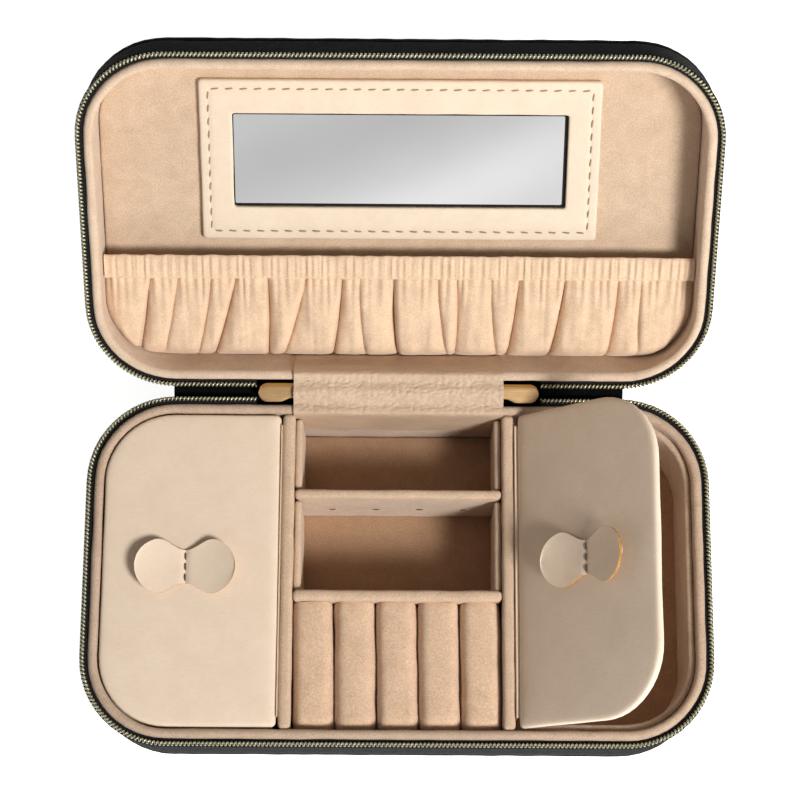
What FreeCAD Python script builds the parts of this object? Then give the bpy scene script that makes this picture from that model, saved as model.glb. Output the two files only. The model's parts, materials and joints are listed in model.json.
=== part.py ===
import FreeCAD, Part
import math
import os
import Sketcher

# A soft travel jewellery case, open. Millimetres, +Z up. The origin is the centre of the base's
# underside, +Y points at the hinge and the lid, and +X to the right of someone who faces the hinge.
#
# Base and lid are two trays. Each tray has a frame of its own: z = 0 is the parting plane, where
# the two rims meet when the case is shut, the middle of the rim is its origin, and its cavity
# opens towards +z. The lid's tray frame is the base's, turned open about the hinge axis.

SIZES = {
    # the two trays
    "rim_half_x": 97.5,
    "rim_half_y": 53.85,
    "rim_radius": 25.5,
    "rim_wall": 3.0,
    "rim_drop": 0.3,
    "rim_round": 1.3,
    "shell_out": 2.0,
    "shell_wall": 1.6,
    "shell_drop": 2.2,
    "shell_round": 4.0,
    "base_depth": 35.0,
    "base_inside": 31.0,
    "lid_depth": 20.0,
    "lid_inside": 15.0,
    "fit_gap": 0.1,
    "hair_gap": 0.02,
    # the hinge between them
    "hinge_gap": 3.87,
    "open_angle": 138.44,
    "notch_half": 50.0,
    "notch_deep": 9.0,
    "spine_half": 73.0,
    "spine_bend": 4.4,
    "spine_thick": 0.9,
    "spine_drop": 7.5,
    "web_half": 33.9,
    "web_leg_half": 33.1,
    "web_thick": 0.8,
    "web_leg_base": 14.0,
    "web_leg_lid": 6.4,
    "web_crown": 2.9,
    # the zip
    "coil_out": 1.7,
    "coil_wide": 1.6,
    "coil_top": 0.1,
    "coil_round": 0.75,
    "tape_thick": 0.35,
    "tape_overlap": 0.2,
    "zip_end": 47.0,
    # the base's walls
    "bay_wall_at": 35.3,
    "bay_wall_thick": 3.9,
    "bay_wall_drop": 1.0,
    "wall_round": 1.2,
    "cross_wall_at": -8.35,
    "cross_wall_thick": 3.6,
    "cross_wall_drop": 1.2,
    "side_panel_thick": 2.3,
    "side_panel_drop": 4.0,
    "side_panel_round": 0.8,
    "side_panel_back": 49.8,
    "divider_at": 24.6,
    "divider_thick": 3.0,
    "divider_drop": 1.6,
    "divider_slot": 3.8,
    "slit_wide": 2.2,
    "slit_tall": 0.8,
    "slit_pitch": 14.3,
    "slit_drop": 16.8,
    "roll_wide": 13.2,
    "roll_drop": 3.0,
    "ledge_wide": 2.3,
    "ledge_drop": 3.6,
    "ledge_round": 0.9,
    # the two covers and their pulls
    "cover_thick": 2.8,
    "cover_drop": 0.5,
    "cover_gap": 0.6,
    "cover_inner": 37.85,
    "cover_hinge": 37.55,
    "cover_angle": 44.5,
    "cover_round": 0.9,
    "strip_thick": 0.4,
    "strip_deep": 15.0,
    "strip_drop": 0.6,
    "strip_short": 1.0,
    "bow_at": 67.3,
    "bow_lobe": 8.4,
    "bow_spread": 7.1,
    "bow_thick": 1.5,
    # what the lid holds
    "frame_half_x": 62.7,
    "frame_half_y": 26.6,
    "frame_at": 16.95,
    "frame_thick": 2.0,
    "frame_round": 0.5,
    "frame_corner": 1.2,
    "window_half_x": 52.5,
    "window_half_y": 15.6,
    "window_corner": 0.5,
    "glass_thick": 0.8,
    "glass_gap": 0.8,
    "glass_shift": 0.4,
    "backing_thick": 0.6,
    "backing_gap": 0.1,
    "pocket_top": -12.9,
    "pocket_gap": 6.6,
    "pocket_thick": 1.5,
    "band_tall": 8.0,
    "band_thick": 2.2,
    "band_round": 0.9,
    # a zip slider, outward from its parked end
    "slider_start": 20.0,
    "slider_long": 8.0,
    "slider_half": 2.4,
    "slider_foot_half": 1.9,
    "plate_low": 0.88,
    "plate_thick": 0.52,
    "foot_low": -1.7,
    "foot_thick": 0.6,
    "core_start": 1.0,
    "core_long": 3.5,
    "core_half": 1.1,
    "joined": 0.1,
    "pin_at": 29.3,
    "pin_level": 1.32,
    "pin_radius": 0.35,
    "ear_inner": 1.3,
    "ear_thick": 0.6,
    "ear_root": 0.5,
    "ear_past_pin": 0.9,
    "ear_above_pin": 0.55,
    "tab_tip": 45.3,
    "tab_half": 3.1,
    "tab_neck_half": 2.1,
    "tab_low": 0.9,
    "tab_thick": 0.7,
    "tab_root": 2.6,
    "tab_neck_start": 2.4,
    "knuckle_radius": 0.65,
    "knuckle_bore_gap": 0.05,
}

TINY = 0.001
HALF = 0.5

doc = FreeCAD.newDocument("JewelleryCase")
sheet = doc.addObject("Spreadsheet::Sheet", "Sizes")
for row, (alias, value) in enumerate(SIZES.items(), start=1):
    sheet.set(f"A{row}", str(value))
    sheet.setAlias(f"A{row}", alias)
doc.recompute()

sub_parts = []


class Size:
    """A length from the sheet: its value, and the expression that gives it."""

    def __init__(self, text, value):
        self.text = text
        self.value = value

    def __add__(self, other):
        other = as_size(other)
        return Size(f"({self.text} + {other.text})", self.value + other.value)

    def __sub__(self, other):
        other = as_size(other)
        return Size(f"({self.text} - {other.text})", self.value - other.value)

    def __mul__(self, factor):
        return Size(f"({self.text} * {factor})", self.value * factor)

    def __neg__(self):
        return Size(f"(0 - {self.text})", -self.value)


def as_size(thing):
    return thing if isinstance(thing, Size) else Size(str(thing), float(thing))


def cell(alias):
    """A size straight from the sheet."""
    return Size(f"Sizes.{alias}", float(sheet.get(alias)))


ZERO = as_size(0.0)


def bind(thing, prop, size):
    thing.setExpression(prop, size.text)


# ---------------------------------------------------------------- places

def moved(x=0.0, y=0.0, z=0.0):
    return FreeCAD.Placement(FreeCAD.Vector(x, y, z), FreeCAD.Rotation())


def turned(axis, degrees):
    return FreeCAD.Placement(FreeCAD.Vector(), FreeCAD.Rotation(FreeCAD.Vector(*axis), degrees))


RIM_TO_HINGE = cell("rim_half_y").value + cell("hinge_gap").value
HINGE = moved(0.0, RIM_TO_HINGE, cell("base_depth").value)
LEAN = 180.0 - cell("open_angle").value
BASE_TRAY = moved(z=cell("base_depth").value)
LID_TRAY = HINGE * turned((1, 0, 0), LEAN) * moved(y=RIM_TO_HINGE)
# halfway between the two trays, on the hinge axis: z points into the open case
BETWEEN = HINGE * turned((1, 0, 0), LEAN / 2)
HALF_TURN = turned((0, 0, 1), 180.0)


# ---------------------------------------------------------------- building blocks

def keep(thing, label, place):
    """Name a finished sub-part and put it in its place."""
    thing.Label = label
    thing.Placement = place
    sub_parts.append(thing)
    return thing


def origin_plane(body, role):
    for feature in body.Origin.OriginFeatures:
        if feature.Role == role:
            return feature
    raise LookupError(role)


def new_sketch(body, name, lift=None):
    """A sketch on the body's own XY plane, raised by lift."""
    sketch = body.newObject("Sketcher::SketchObject", name)
    sketch.AttachmentSupport = [(origin_plane(body, "XY_Plane"), "")]
    sketch.MapMode = "FlatFace"
    if lift is not None:
        bind(sketch, "AttachmentOffset.Base.z", lift)
    return sketch


def rounded_rectangle(sketch, half_x, half_y, radius):
    """A closed outline about the sketch's origin: four arcs, each followed by the line to the next."""
    across = half_x.value - radius.value
    along = half_y.value - radius.value
    centres = [(across, -along), (across, along), (-across, along), (-across, -along)]
    first = sketch.GeometryCount
    for index, (x, y) in enumerate(centres):
        start = math.radians(90 * index - 90)
        circle = Part.Circle(FreeCAD.Vector(x, y, 0), FreeCAD.Vector(0, 0, 1), radius.value)
        arc = Part.ArcOfCircle(circle, start, start + math.pi / 2)
        leave = arc.EndPoint
        next_x, next_y = centres[(index + 1) % 4]
        arrive = FreeCAD.Vector(
            next_x + radius.value * math.cos(start + math.pi / 2),
            next_y + radius.value * math.sin(start + math.pi / 2),
            0,
        )
        sketch.addGeometry([arc, Part.LineSegment(leave, arrive)], False)
    arcs = [first + 2 * index for index in range(4)]
    lines = [first + 2 * index + 1 for index in range(4)]
    for index in range(4):
        sketch.addConstraint(Sketcher.Constraint("Tangent", arcs[index], 2, lines[index], 1))
        sketch.addConstraint(Sketcher.Constraint("Tangent", lines[index], 2, arcs[(index + 1) % 4], 1))
        straight = "Horizontal" if index % 2 else "Vertical"
        sketch.addConstraint(Sketcher.Constraint(straight, lines[index]))
        if index:
            sketch.addConstraint(Sketcher.Constraint("Equal", arcs[0], arcs[index]))
    sketch.addConstraint(Sketcher.Constraint("Symmetric", arcs[0], 3, arcs[2], 3, -1, 1))
    sized = [
        (Sketcher.Constraint("Radius", arcs[0], radius.value), radius),
        (Sketcher.Constraint("DistanceX", lines[2], 1, lines[0], 1, 2 * half_x.value), half_x * 2),
        (Sketcher.Constraint("DistanceY", lines[3], 1, lines[1], 1, 2 * half_y.value), half_y * 2),
    ]
    for constraint, size in sized:
        number = sketch.addConstraint(constraint)
        sketch.setExpression(f"Constraints[{number}]", size.text)


def pad(body, sketch, height):
    feature = body.newObject("PartDesign::Pad", f"{body.Name}_pad")
    feature.Profile = sketch
    bind(feature, "Length", height)
    sketch.Visibility = False
    doc.recompute()
    return feature


def edges_at_level(shape, level):
    """The names of the edges that lie in the plane z = level."""
    return [
        f"Edge{number}"
        for number, edge in enumerate(shape.Edges, start=1)
        if all(abs(vertex.Z - level) < TINY for vertex in edge.Vertexes)
    ]


def round_edges(body, feature, level, radius):
    """Round every edge of a body's feature that lies in the plane z = level."""
    fillet = body.newObject("PartDesign::Fillet", f"{body.Name}_fillet")
    fillet.Base = (feature, edges_at_level(feature.Shape, level.value))
    bind(fillet, "Radius", radius)
    doc.recompute()
    return fillet


def outline_body(name, outlines, height, rounding=None):
    """A plate or a ring: the rounded outlines padded up from z = 0, with its top edges rounded."""
    body = doc.addObject("PartDesign::Body", name)
    sketch = new_sketch(body, f"{name}_sketch")
    for outline in outlines:
        rounded_rectangle(sketch, *outline)
    feature = pad(body, sketch, height)
    if rounding is not None:
        round_edges(body, feature, height, rounding)
    return body


def box(name, x_range, y_range, z_range):
    """A plain block between two values along each axis."""
    block = doc.addObject("Part::Box", name)
    for side, (low, high) in zip(("Length", "Width", "Height"), (x_range, y_range, z_range)):
        bind(block, side, high - low)
    for letter, (low, high) in zip("xyz", (x_range, y_range, z_range)):
        if low is not ZERO:
            bind(block, f"Placement.Base.{letter}", low)
    doc.recompute()
    return block


def cylinder(name, radius, length, place):
    """A round bar that starts at a place and runs along the place's z."""
    bar = doc.addObject("Part::Cylinder", name)
    bind(bar, "Radius", radius)
    bind(bar, "Height", length)
    bar.Placement = place
    return bar


def cut(name, base, tool):
    result = doc.addObject("Part::Cut", name)
    result.Base = base
    result.Tool = tool
    result.Refine = True
    doc.recompute()
    return result


def fuse(name, pieces):
    result = doc.addObject("Part::MultiFuse", name)
    result.Shapes = pieces
    result.Refine = True
    doc.recompute()
    return result


def fillet(name, base, level, radius):
    """Round the edges of a Part object that lie in the plane z = level."""
    result = doc.addObject("Part::Fillet", name)
    result.Base = base
    numbers = [int(edge[4:]) for edge in edges_at_level(base.Shape, level.value)]
    result.Edges = [(number, radius.value, radius.value) for number in numbers]
    doc.recompute()
    return result


def rim_outline(inset):
    """The rim's outer outline, pulled in all round by inset."""
    return cell("rim_half_x") - inset, cell("rim_half_y") - inset, cell("rim_radius") - inset


# cutting blocks reach FAR sideways, and PAST beyond the faces they cut
FAR = cell("rim_half_x") + 20.0
PAST = 1.0
GAP = cell("fit_gap")
HAIR = cell("hair_gap")
RIM_INNER = cell("rim_wall")


def hinge_zone(name, hinge_side, half_width, low, high):
    """A block over the middle of the hinge side of a tray, from inside the rim to beyond the shell."""
    near = cell("rim_half_y")
    beyond = cell("rim_half_y") + cell("notch_deep") + PAST
    y_range = (near, beyond) if hinge_side > 0 else (-beyond, -near)
    return box(name, (-half_width, half_width), y_range, (low, high))


# ---------------------------------------------------------------- the trays: shell, liner, zip

def outer_shell(label, tray, depth, hinge_side):
    """The dark outer case half: a tray with round corners, and its hinge side cut down for the spine."""
    body = doc.addObject("PartDesign::Body", f"{label}_body")
    outline = rim_outline(-cell("shell_out"))
    height = depth - cell("shell_drop")
    block = pad(body, sketch_of(body, "outside", [outline]), height)
    round_edges(body, block, ZERO, cell("shell_round"))
    floor = cell("shell_wall")
    hollow = body.newObject("PartDesign::Pocket", f"{label}_hollow")
    inner = rim_outline(cell("shell_wall") - cell("shell_out"))
    hollow.Profile = sketch_of(body, "inside", [inner], height)
    bind(hollow, "Length", height - floor)
    doc.recompute()
    notch = hinge_zone(f"{label}_notch", hinge_side, cell("notch_half"), depth - cell("notch_deep"), depth)
    keep(cut(f"{label}_cut", body, notch), label, tray * moved(z=-depth.value))


def sketch_of(body, name, outlines, lift=None):
    sketch = new_sketch(body, f"{body.Name}_{name}", lift)
    for outline in outlines:
        rounded_rectangle(sketch, *outline)
    return sketch


def rim_liner(label, tray, depth):
    """The padded wall that lines a tray, with a soft round rim."""
    bottom = cell("shell_wall") + GAP
    height = depth - bottom - cell("rim_drop")
    outlines = [rim_outline(ZERO), rim_outline(RIM_INNER)]
    body = outline_body(f"{label}_body", outlines, height, cell("rim_round"))
    keep(body, label, tray * moved(z=(bottom - depth).value))


def floor_pad(label, tray, depth, inside):
    """The flat pad that closes the bottom of the cavity."""
    bottom = cell("shell_wall") + GAP
    body = outline_body(f"{label}_body", [rim_outline(RIM_INNER + GAP * 2)], depth - inside - bottom)
    keep(body, label, tray * moved(z=(bottom - depth).value))


def zip_ring(label, tray, inner, outer, low, thick, hinge_side, rounding=None):
    """A ring round the rim that stops at the zip's two ends, either side of the hinge web."""
    body = outline_body(f"{label}_body", [rim_outline(-outer), rim_outline(-inner)], thick, rounding)
    gap = hinge_zone(f"{label}_gap", hinge_side, cell("zip_end"), ZERO - PAST, thick + PAST)
    keep(cut(f"{label}_cut", body, gap), label, tray * moved(z=low.value))


def tray_parts(name, tray, depth, inside, floor_label, hinge_side):
    half_coil = cell("coil_wide") * HALF
    coil_low = -cell("coil_top") - cell("coil_wide")
    outer_shell(f"{name}_outer_shell", tray, depth, hinge_side)
    rim_liner(f"{name}_rim_liner", tray, depth)
    floor_pad(floor_label, tray, depth, inside)
    zip_ring(
        f"{name}_zip_coil", tray, cell("coil_out") - half_coil, cell("coil_out") + half_coil,
        coil_low, cell("coil_wide"), hinge_side, cell("coil_round"),
    )
    zip_ring(
        f"{name}_zip_tape", tray, GAP, cell("coil_out") + cell("tape_overlap"),
        coil_low - cell("tape_thick") - HAIR, cell("tape_thick"), hinge_side,
    )


# ---------------------------------------------------------------- the base's fittings

def walls():
    """The walls that part the base, each standing on the floor pad."""
    low = GAP - cell("base_inside")
    back = cell("rim_half_y") - RIM_INNER - GAP
    half_thick = cell("bay_wall_thick") * HALF
    inner_face = cell("bay_wall_at") - half_thick
    for side, name in ((-1, "bay_wall_left"), (1, "bay_wall_right")):
        centre = cell("bay_wall_at") * side
        x_range = (centre - half_thick, centre + half_thick)
        standing_block(name, x_range, (-back, back), (low, -cell("bay_wall_drop")))
    reach = inner_face - GAP
    half_cross = cell("cross_wall_thick") * HALF
    cross = cell("cross_wall_at")
    standing_block(
        "cross_wall", (-reach, reach), (cross - half_cross, cross + half_cross),
        (low, -cell("cross_wall_drop")),
    )
    slot = cell("divider_slot") * HALF
    stretches = {
        "rear": (cell("divider_at") + slot, cell("side_panel_back")),
        "front": (cross + half_cross + GAP, cell("divider_at") - slot),
    }
    for place, y_range in stretches.items():
        for side, x_range in (
            ("left", (-reach, -reach + cell("side_panel_thick"))),
            ("right", (reach - cell("side_panel_thick"), reach)),
        ):
            standing_block(f"side_panel_{place}_{side}", x_range, y_range, (low, -cell("side_panel_drop")),
                           cell("side_panel_round"))


def standing_block(label, x_range, y_range, z_range, rounding=None):
    """A padded wall with rounded top edges."""
    block = box(f"{label}_block", (ZERO, x_range[1] - x_range[0]), (ZERO, y_range[1] - y_range[0]),
                (ZERO, z_range[1] - z_range[0]))
    radius = cell("wall_round") if rounding is None else rounding
    rounded = fillet(f"{label}_fillet", block, z_range[1] - z_range[0], radius)
    keep(rounded, label, BASE_TRAY * moved(x_range[0].value, y_range[0].value, z_range[0].value))


def divider():
    """The lift-out wall, with a row of short slits half-way down its face."""
    half = cell("bay_wall_at") - cell("bay_wall_thick") * HALF - GAP * 2
    half_thick = cell("divider_thick") * HALF
    tall = cell("base_inside") - GAP * 2 - cell("divider_drop")
    block = box("divider_block", (-half, half), (-half_thick, half_thick), (ZERO, tall))
    wall = fillet("divider_fillet", block, tall, cell("wall_round"))
    slits = []
    for number in range(4):
        centre = cell("slit_pitch") * (number - 1.5)
        slits.append(box(
            f"slit_{number + 1}",
            (centre - cell("slit_wide") * HALF, centre + cell("slit_wide") * HALF),
            (-half_thick - PAST, half_thick + PAST),
            (tall - cell("slit_drop") - cell("slit_tall"), tall - cell("slit_drop")),
        ))
    pierced = cut("divider_cut", wall, fuse("slits", slits))
    keep(pierced, "removable_divider",
         BASE_TRAY * moved(y=cell("divider_at").value, z=(GAP * 2 - cell("base_inside")).value))


def ring_rolls():
    """Five padded rolls side by side that grip rings between them: straight sides, half-round tops."""
    radius = cell("roll_wide") * HALF
    front = -cell("rim_half_y") + RIM_INNER + GAP
    back = cell("cross_wall_at") - cell("cross_wall_thick") * HALF - GAP
    tall = cell("base_inside") - GAP - cell("roll_drop")
    for number in range(5):
        name = f"ring_roll_{number + 1}"
        foot = box(f"{name}_foot", (-radius, radius), (ZERO, back - front), (ZERO, tall - radius))
        crown = cylinder(f"{name}_crown", radius, back - front, moved(z=(tall - radius).value)
                         * turned((1, 0, 0), -90.0))
        centre = (cell("roll_wide") + GAP) * (number - 2)
        keep(fuse(f"{name}_fuse", [foot, crown]), name,
             BASE_TRAY * moved(centre.value, front.value, (GAP - cell("base_inside")).value))


def side_of_case(name, inset, height, inner_x, rounding):
    """A piece of tray outline on the right-hand side only: everything past inner_x."""
    body = outline_body(f"{name}_body", inset, height)
    rest = box(f"{name}_rest", (-FAR, inner_x), (-FAR, FAR), (ZERO - PAST, height + PAST))
    return fillet(f"{name}_fillet", cut(f"{name}_cut", body, rest), height, rounding)


def compartments():
    """The padded ledge inside each side compartment, its cover, and the strip that hinges the cover."""
    outside = RIM_INNER + GAP
    for side, tray in (("left", BASE_TRAY * HALF_TURN), ("right", BASE_TRAY)):
        tall = cell("base_inside") - GAP - cell("ledge_drop")
        edge_of_wall = cell("bay_wall_at") + cell("bay_wall_thick") * HALF
        ledge = side_of_case(
            f"ledge_{side}", [rim_outline(outside), rim_outline(outside + cell("ledge_wide"))],
            tall, edge_of_wall + GAP, cell("ledge_round"),
        )
        keep(ledge, f"compartment_liner_{side}", tray * moved(z=(GAP - cell("base_inside")).value))
        half_long = cell("rim_half_y") - RIM_INNER - cell("ledge_wide") - cell("strip_short")
        strip = box(
            f"strip_{side}", (ZERO, cell("strip_thick")), (ZERO, half_long * 2), (ZERO, cell("strip_deep")),
        )
        keep(strip, f"cover_hinge_strip_{side}", tray * moved(
            edge_of_wall.value + GAP.value / 2,
            -(strip.Width.Value / 2),
            -(cell("strip_deep") + cell("cover_drop") + cell("strip_drop")).value,
        ))
        angle = cell("cover_angle").value if side == "right" else 0.0
        cover(side, tray, angle)


def cover(side, tray, angle):
    """A padded board that lies on the ledge and opens about its inner top edge, with its bow pull."""
    top = -cell("cover_drop")
    board = side_of_case(
        f"cover_{side}", [rim_outline(RIM_INNER + cell("cover_gap"))], cell("cover_thick"),
        cell("cover_inner"), cell("cover_round"),
    )
    pivot = moved(cell("cover_hinge").value, 0.0, top.value + GAP.value)
    swing = tray * pivot * turned((0, 1, 0), -angle) * pivot.inverse()
    keep(board, f"cover_{side}", swing * moved(z=(top - cell("cover_thick")).value))
    lobes = [
        cylinder(f"bow_{side}_lobe_{number}", cell("bow_lobe"), cell("bow_thick"),
                 moved(x=cell("bow_spread").value * way))
        for number, way in enumerate((-1, 1), start=1)
    ]
    bow = fuse(f"bow_{side}_fuse", lobes)
    keep(bow, f"bow_pull_{side}", swing * moved(cell("bow_at").value, 0.0, top.value + GAP.value / 2))


# ---------------------------------------------------------------- the lid's fittings

def mirror_unit():
    """The mirror: a covered frame on the lid's panel, and the backing board and glass in its window."""
    outer = (cell("frame_half_x"), cell("frame_half_y"), cell("frame_corner"))
    window = (cell("window_half_x"), cell("window_half_y"), cell("window_corner"))
    on_panel = GAP * HALF - cell("lid_inside")
    centre = cell("frame_at").value
    frame = outline_body("mirror_frame_body", [outer, window], cell("frame_thick"), cell("frame_round"))
    keep(frame, "mirror_frame", LID_TRAY * moved(y=centre, z=on_panel.value))
    backing_outline = inset_outline(window, cell("backing_gap"))
    backing = outline_body("mirror_backing_body", [backing_outline], cell("backing_thick"))
    keep(backing, "mirror_backing", LID_TRAY * moved(y=centre, z=on_panel.value))
    glass_outline = inset_outline(window, cell("glass_gap"))
    glass = outline_body("mirror_glass_body", [glass_outline], cell("glass_thick"))
    above = on_panel + cell("backing_thick") + HAIR
    shift = cell("glass_shift").value
    keep(glass, "mirror_glass", LID_TRAY * moved(x=-shift, y=centre + shift, z=above.value))


def inset_outline(outline, inset):
    half_x, half_y, radius = outline
    return half_x - inset, half_y - inset, radius if inset.value > radius.value else radius - inset


def pocket():
    """The gathered pocket's front, which stands off the panel, and the elastic band along its open top."""
    outline = rim_outline(RIM_INNER + GAP)
    low = cell("pocket_gap") - cell("lid_inside")
    body = outline_body("pocket_body", [outline], cell("pocket_thick"))
    band_low = cell("pocket_top") - cell("band_tall")
    z_range = (ZERO - PAST, cell("pocket_thick") + PAST)
    above = box("pocket_above", (-FAR, FAR), (band_low - GAP * HALF, FAR), z_range)
    keep(cut("pocket_cut", body, above), "gathered_pocket", LID_TRAY * moved(z=low.value))
    half = cell("rim_half_x") - RIM_INNER - GAP * 2
    band = box("pocket_band_block", (ZERO, half * 2), (ZERO, cell("band_tall")), (ZERO, cell("band_thick")))
    rounded = fillet("pocket_band_fillet", band, cell("band_thick"), cell("band_round"))
    keep(rounded, "pocket_elastic_band",
         LID_TRAY * moved(-half.value, band_low.value, low.value - GAP.value))


# ---------------------------------------------------------------- what crosses the hinge

def spine():
    """The outer fabric spine: an arched strip from the base's back wall to the lid's."""
    outer = cell("spine_bend").value
    inner = outer - cell("spine_thick").value
    centre = FreeCAD.Vector(0, 0, -cell("spine_drop").value)
    along = FreeCAD.Vector(1, 0, 0)
    across = FreeCAD.Vector(0, 1, 0)
    up = FreeCAD.Vector(0, 0, 1)
    arches = [
        Part.Arc(centre - across * radius, centre + up * radius, centre + across * radius).toShape()
        for radius in (outer, inner)
    ]
    feet = [
        Part.LineSegment(centre + across * (side * outer), centre + across * (side * inner)).toShape()
        for side in (-1, 1)
    ]
    outline = Part.Wire(Part.__sortEdges__(arches + feet))
    half = cell("spine_half").value
    strip = doc.addObject("Part::Feature", "spine_shape")
    strip.Shape = Part.Face(outline).translated(-along * half).extrude(along * (2 * half))
    keep(strip, "spine", BETWEEN)


def hinge_web():
    """The inner fabric hinge: up the bay's back wall, over both rims and down the lid's wall."""
    thick = cell("web_thick").value
    lean = math.radians(LEAN / 2)

    def base_point(out, level):
        """A point on the base's side of the hinge, in the frame between the trays."""
        y = -(cell("hinge_gap").value + out)
        return FreeCAD.Vector(0, y * math.cos(lean) + level * math.sin(lean),
                              level * math.cos(lean) - y * math.sin(lean))

    def mirrored(point):
        return FreeCAD.Vector(point.x, -point.y, point.z)

    rim = cell("rim_wall").value
    gap = GAP.value / 2
    lift = -cell("rim_drop").value + gap
    crown = FreeCAD.Vector(0, 0, cell("web_crown").value)
    corner_in = base_point(rim + gap, lift)
    corner_out = base_point(0.0, lift)
    face_in = base_point(rim + gap + thick, lift + thick)
    face_out = base_point(0.0, lift + thick)
    raised = crown + FreeCAD.Vector(0, 0, thick)
    over = [corner_in, corner_out, crown, mirrored(corner_out), mirrored(corner_in),
            mirrored(face_in), mirrored(face_out), raised, face_out, face_in]
    legs = []
    for leg, flip in (("web_leg_base", False), ("web_leg_lid", True)):
        deep = -cell(leg).value
        corners = [base_point(rim + gap, lift), base_point(rim + gap + thick, lift + thick),
                   base_point(rim + gap + thick, deep), base_point(rim + gap, deep)]
        legs.append([mirrored(point) for point in corners] if flip else corners)
    solids = [prism(over, cell("web_half").value)]
    solids += [prism(leg, cell("web_leg_half").value) for leg in legs]
    web = doc.addObject("Part::Feature", "hinge_web_shape")
    web.Shape = solids[0].multiFuse(solids[1:]).removeSplitter()
    keep(web, "hinge_web", BETWEEN)


def prism(points, half):
    """A block of one outline across the hinge, reaching half to each side along x."""
    outline = Part.makePolygon(points + points[:1])
    start = FreeCAD.Vector(-half, 0, 0)
    return Part.Face(outline).translated(start).extrude(start * -2)


# ---------------------------------------------------------------- the zip's sliders

def slider(side, place):
    """A slider parked at the zip's end under the web, its pin, and the pull tab that points outward."""
    start = cell("slider_start")
    end = start + cell("slider_long")
    half = cell("slider_half")
    foot_half = cell("slider_foot_half")
    plate_top = cell("plate_low") + cell("plate_thick")
    foot_top = cell("foot_low") + cell("foot_thick")
    ear_outer = cell("ear_inner") + cell("ear_thick")
    ear_end = cell("pin_at") + cell("ear_past_pin")
    ear_top = cell("pin_level") + cell("ear_above_pin")
    joined = cell("joined")
    core_start = start + cell("core_start")
    core_half = cell("core_half")
    pieces = [
        box(f"slider_{side}_plate", (start, end), (-half, half), (cell("plate_low"), plate_top)),
        box(f"slider_{side}_foot", (start, end), (-foot_half, foot_half), (cell("foot_low"), foot_top)),
        box(f"slider_{side}_core", (core_start, core_start + cell("core_long")), (-core_half, core_half),
            (foot_top - joined, cell("plate_low") + joined)),
    ]
    for number, way in enumerate((-1, 1), start=1):
        low, high = (cell("ear_inner"), ear_outer) if way > 0 else (-ear_outer, -cell("ear_inner"))
        pieces.append(box(
            f"slider_{side}_ear_{number}", (end - cell("ear_root"), ear_end), (low, high),
            (cell("plate_low"), ear_top),
        ))
    body = fuse(f"slider_{side}_fuse", pieces)
    across = turned((1, 0, 0), -90.0)
    pin_place = moved(cell("pin_at").value, -ear_outer.value, cell("pin_level").value) * across
    bore = cylinder(f"slider_{side}_bore", cell("pin_radius") + HAIR, ear_outer * 2, pin_place)
    keep(cut(f"slider_{side}_cut", body, bore), f"zip_slider_{side}", place)
    pin = cylinder(f"pin_{side}", cell("pin_radius"), ear_outer * 2, pin_place)
    keep(pin, f"pull_pin_{side}", place * pin_place)
    pull_tab(side, place, across)


def pull_tab(side, place, across):
    """The pull: a knuckle round the pin, a neck, and a rounded paddle."""
    knuckle_half = cell("ear_inner") - GAP
    start = moved(cell("pin_at").value, -knuckle_half.value, cell("pin_level").value) * across
    top = cell("tab_low") + cell("tab_thick")
    tip_centre = cell("tab_tip") - cell("tab_half")
    level = (cell("tab_low"), top)
    neck_half = cell("tab_neck_half")
    knuckle = cylinder(f"tab_{side}_knuckle", cell("knuckle_radius"), knuckle_half * 2, start)
    root_range = (cell("pin_at"), cell("pin_at") + cell("tab_root"))
    root = box(f"tab_{side}_root", root_range, (-knuckle_half, knuckle_half), level)
    neck_start = cell("pin_at") + cell("tab_neck_start")
    neck = box(f"tab_{side}_neck", (neck_start, tip_centre), (-neck_half, neck_half), level)
    tip = cylinder(f"tab_{side}_tip", cell("tab_half"), cell("tab_thick"),
                   moved(tip_centre.value, 0.0, cell("tab_low").value))
    plate = fuse(f"tab_{side}_fuse", [knuckle, root, neck, tip])
    bore_radius = cell("pin_radius") + cell("knuckle_bore_gap")
    bore = cylinder(f"tab_{side}_bore", bore_radius, knuckle_half * 2, start)
    keep(cut(f"tab_{side}_cut", plate, bore), f"pull_tab_{side}", place)


# ---------------------------------------------------------------- the whole case

tray_parts("base", BASE_TRAY, cell("base_depth"), cell("base_inside"), "base_floor_pad", 1)
tray_parts("lid", LID_TRAY, cell("lid_depth"), cell("lid_inside"), "lid_panel", -1)
walls()
divider()
ring_rolls()
compartments()
mirror_unit()
pocket()
spine()
hinge_web()
slider("right", BETWEEN)
slider("left", BETWEEN * HALF_TURN)
doc.recompute()

# ---------------------------------------------------------------- checks and files

for thing in doc.Objects:
    if "Invalid" in thing.State or "Error" in thing.State:
        raise RuntimeError(f"{thing.Name} ({thing.Label}) failed: {thing.State}")

labels = [thing.Label for thing in sub_parts]
if len(set(labels)) != len(labels):
    raise RuntimeError("two sub-parts share a name")

os.makedirs("parts", exist_ok=True)
for thing in sub_parts:
    shape = thing.Shape
    if shape.isNull() or not shape.isValid() or not shape.Solids:
        raise RuntimeError(f"{thing.Label} has no good solid")
    shape.exportStep(f"parts/{thing.Label}.step")
    print(f"{thing.Label:28s} solids {len(shape.Solids)}  volume {shape.Volume:10.1f} mm3")

whole = Part.makeCompound([thing.Shape for thing in sub_parts]).BoundBox
extent = f"{whole.XLength:.1f} x {whole.YLength:.1f} x {whole.ZLength:.1f} mm"
print(f"sub-parts {len(sub_parts)}, size {extent}")
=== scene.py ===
import itertools
import json
import math

import bpy
from mathutils import Matrix, Vector, noise


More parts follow.
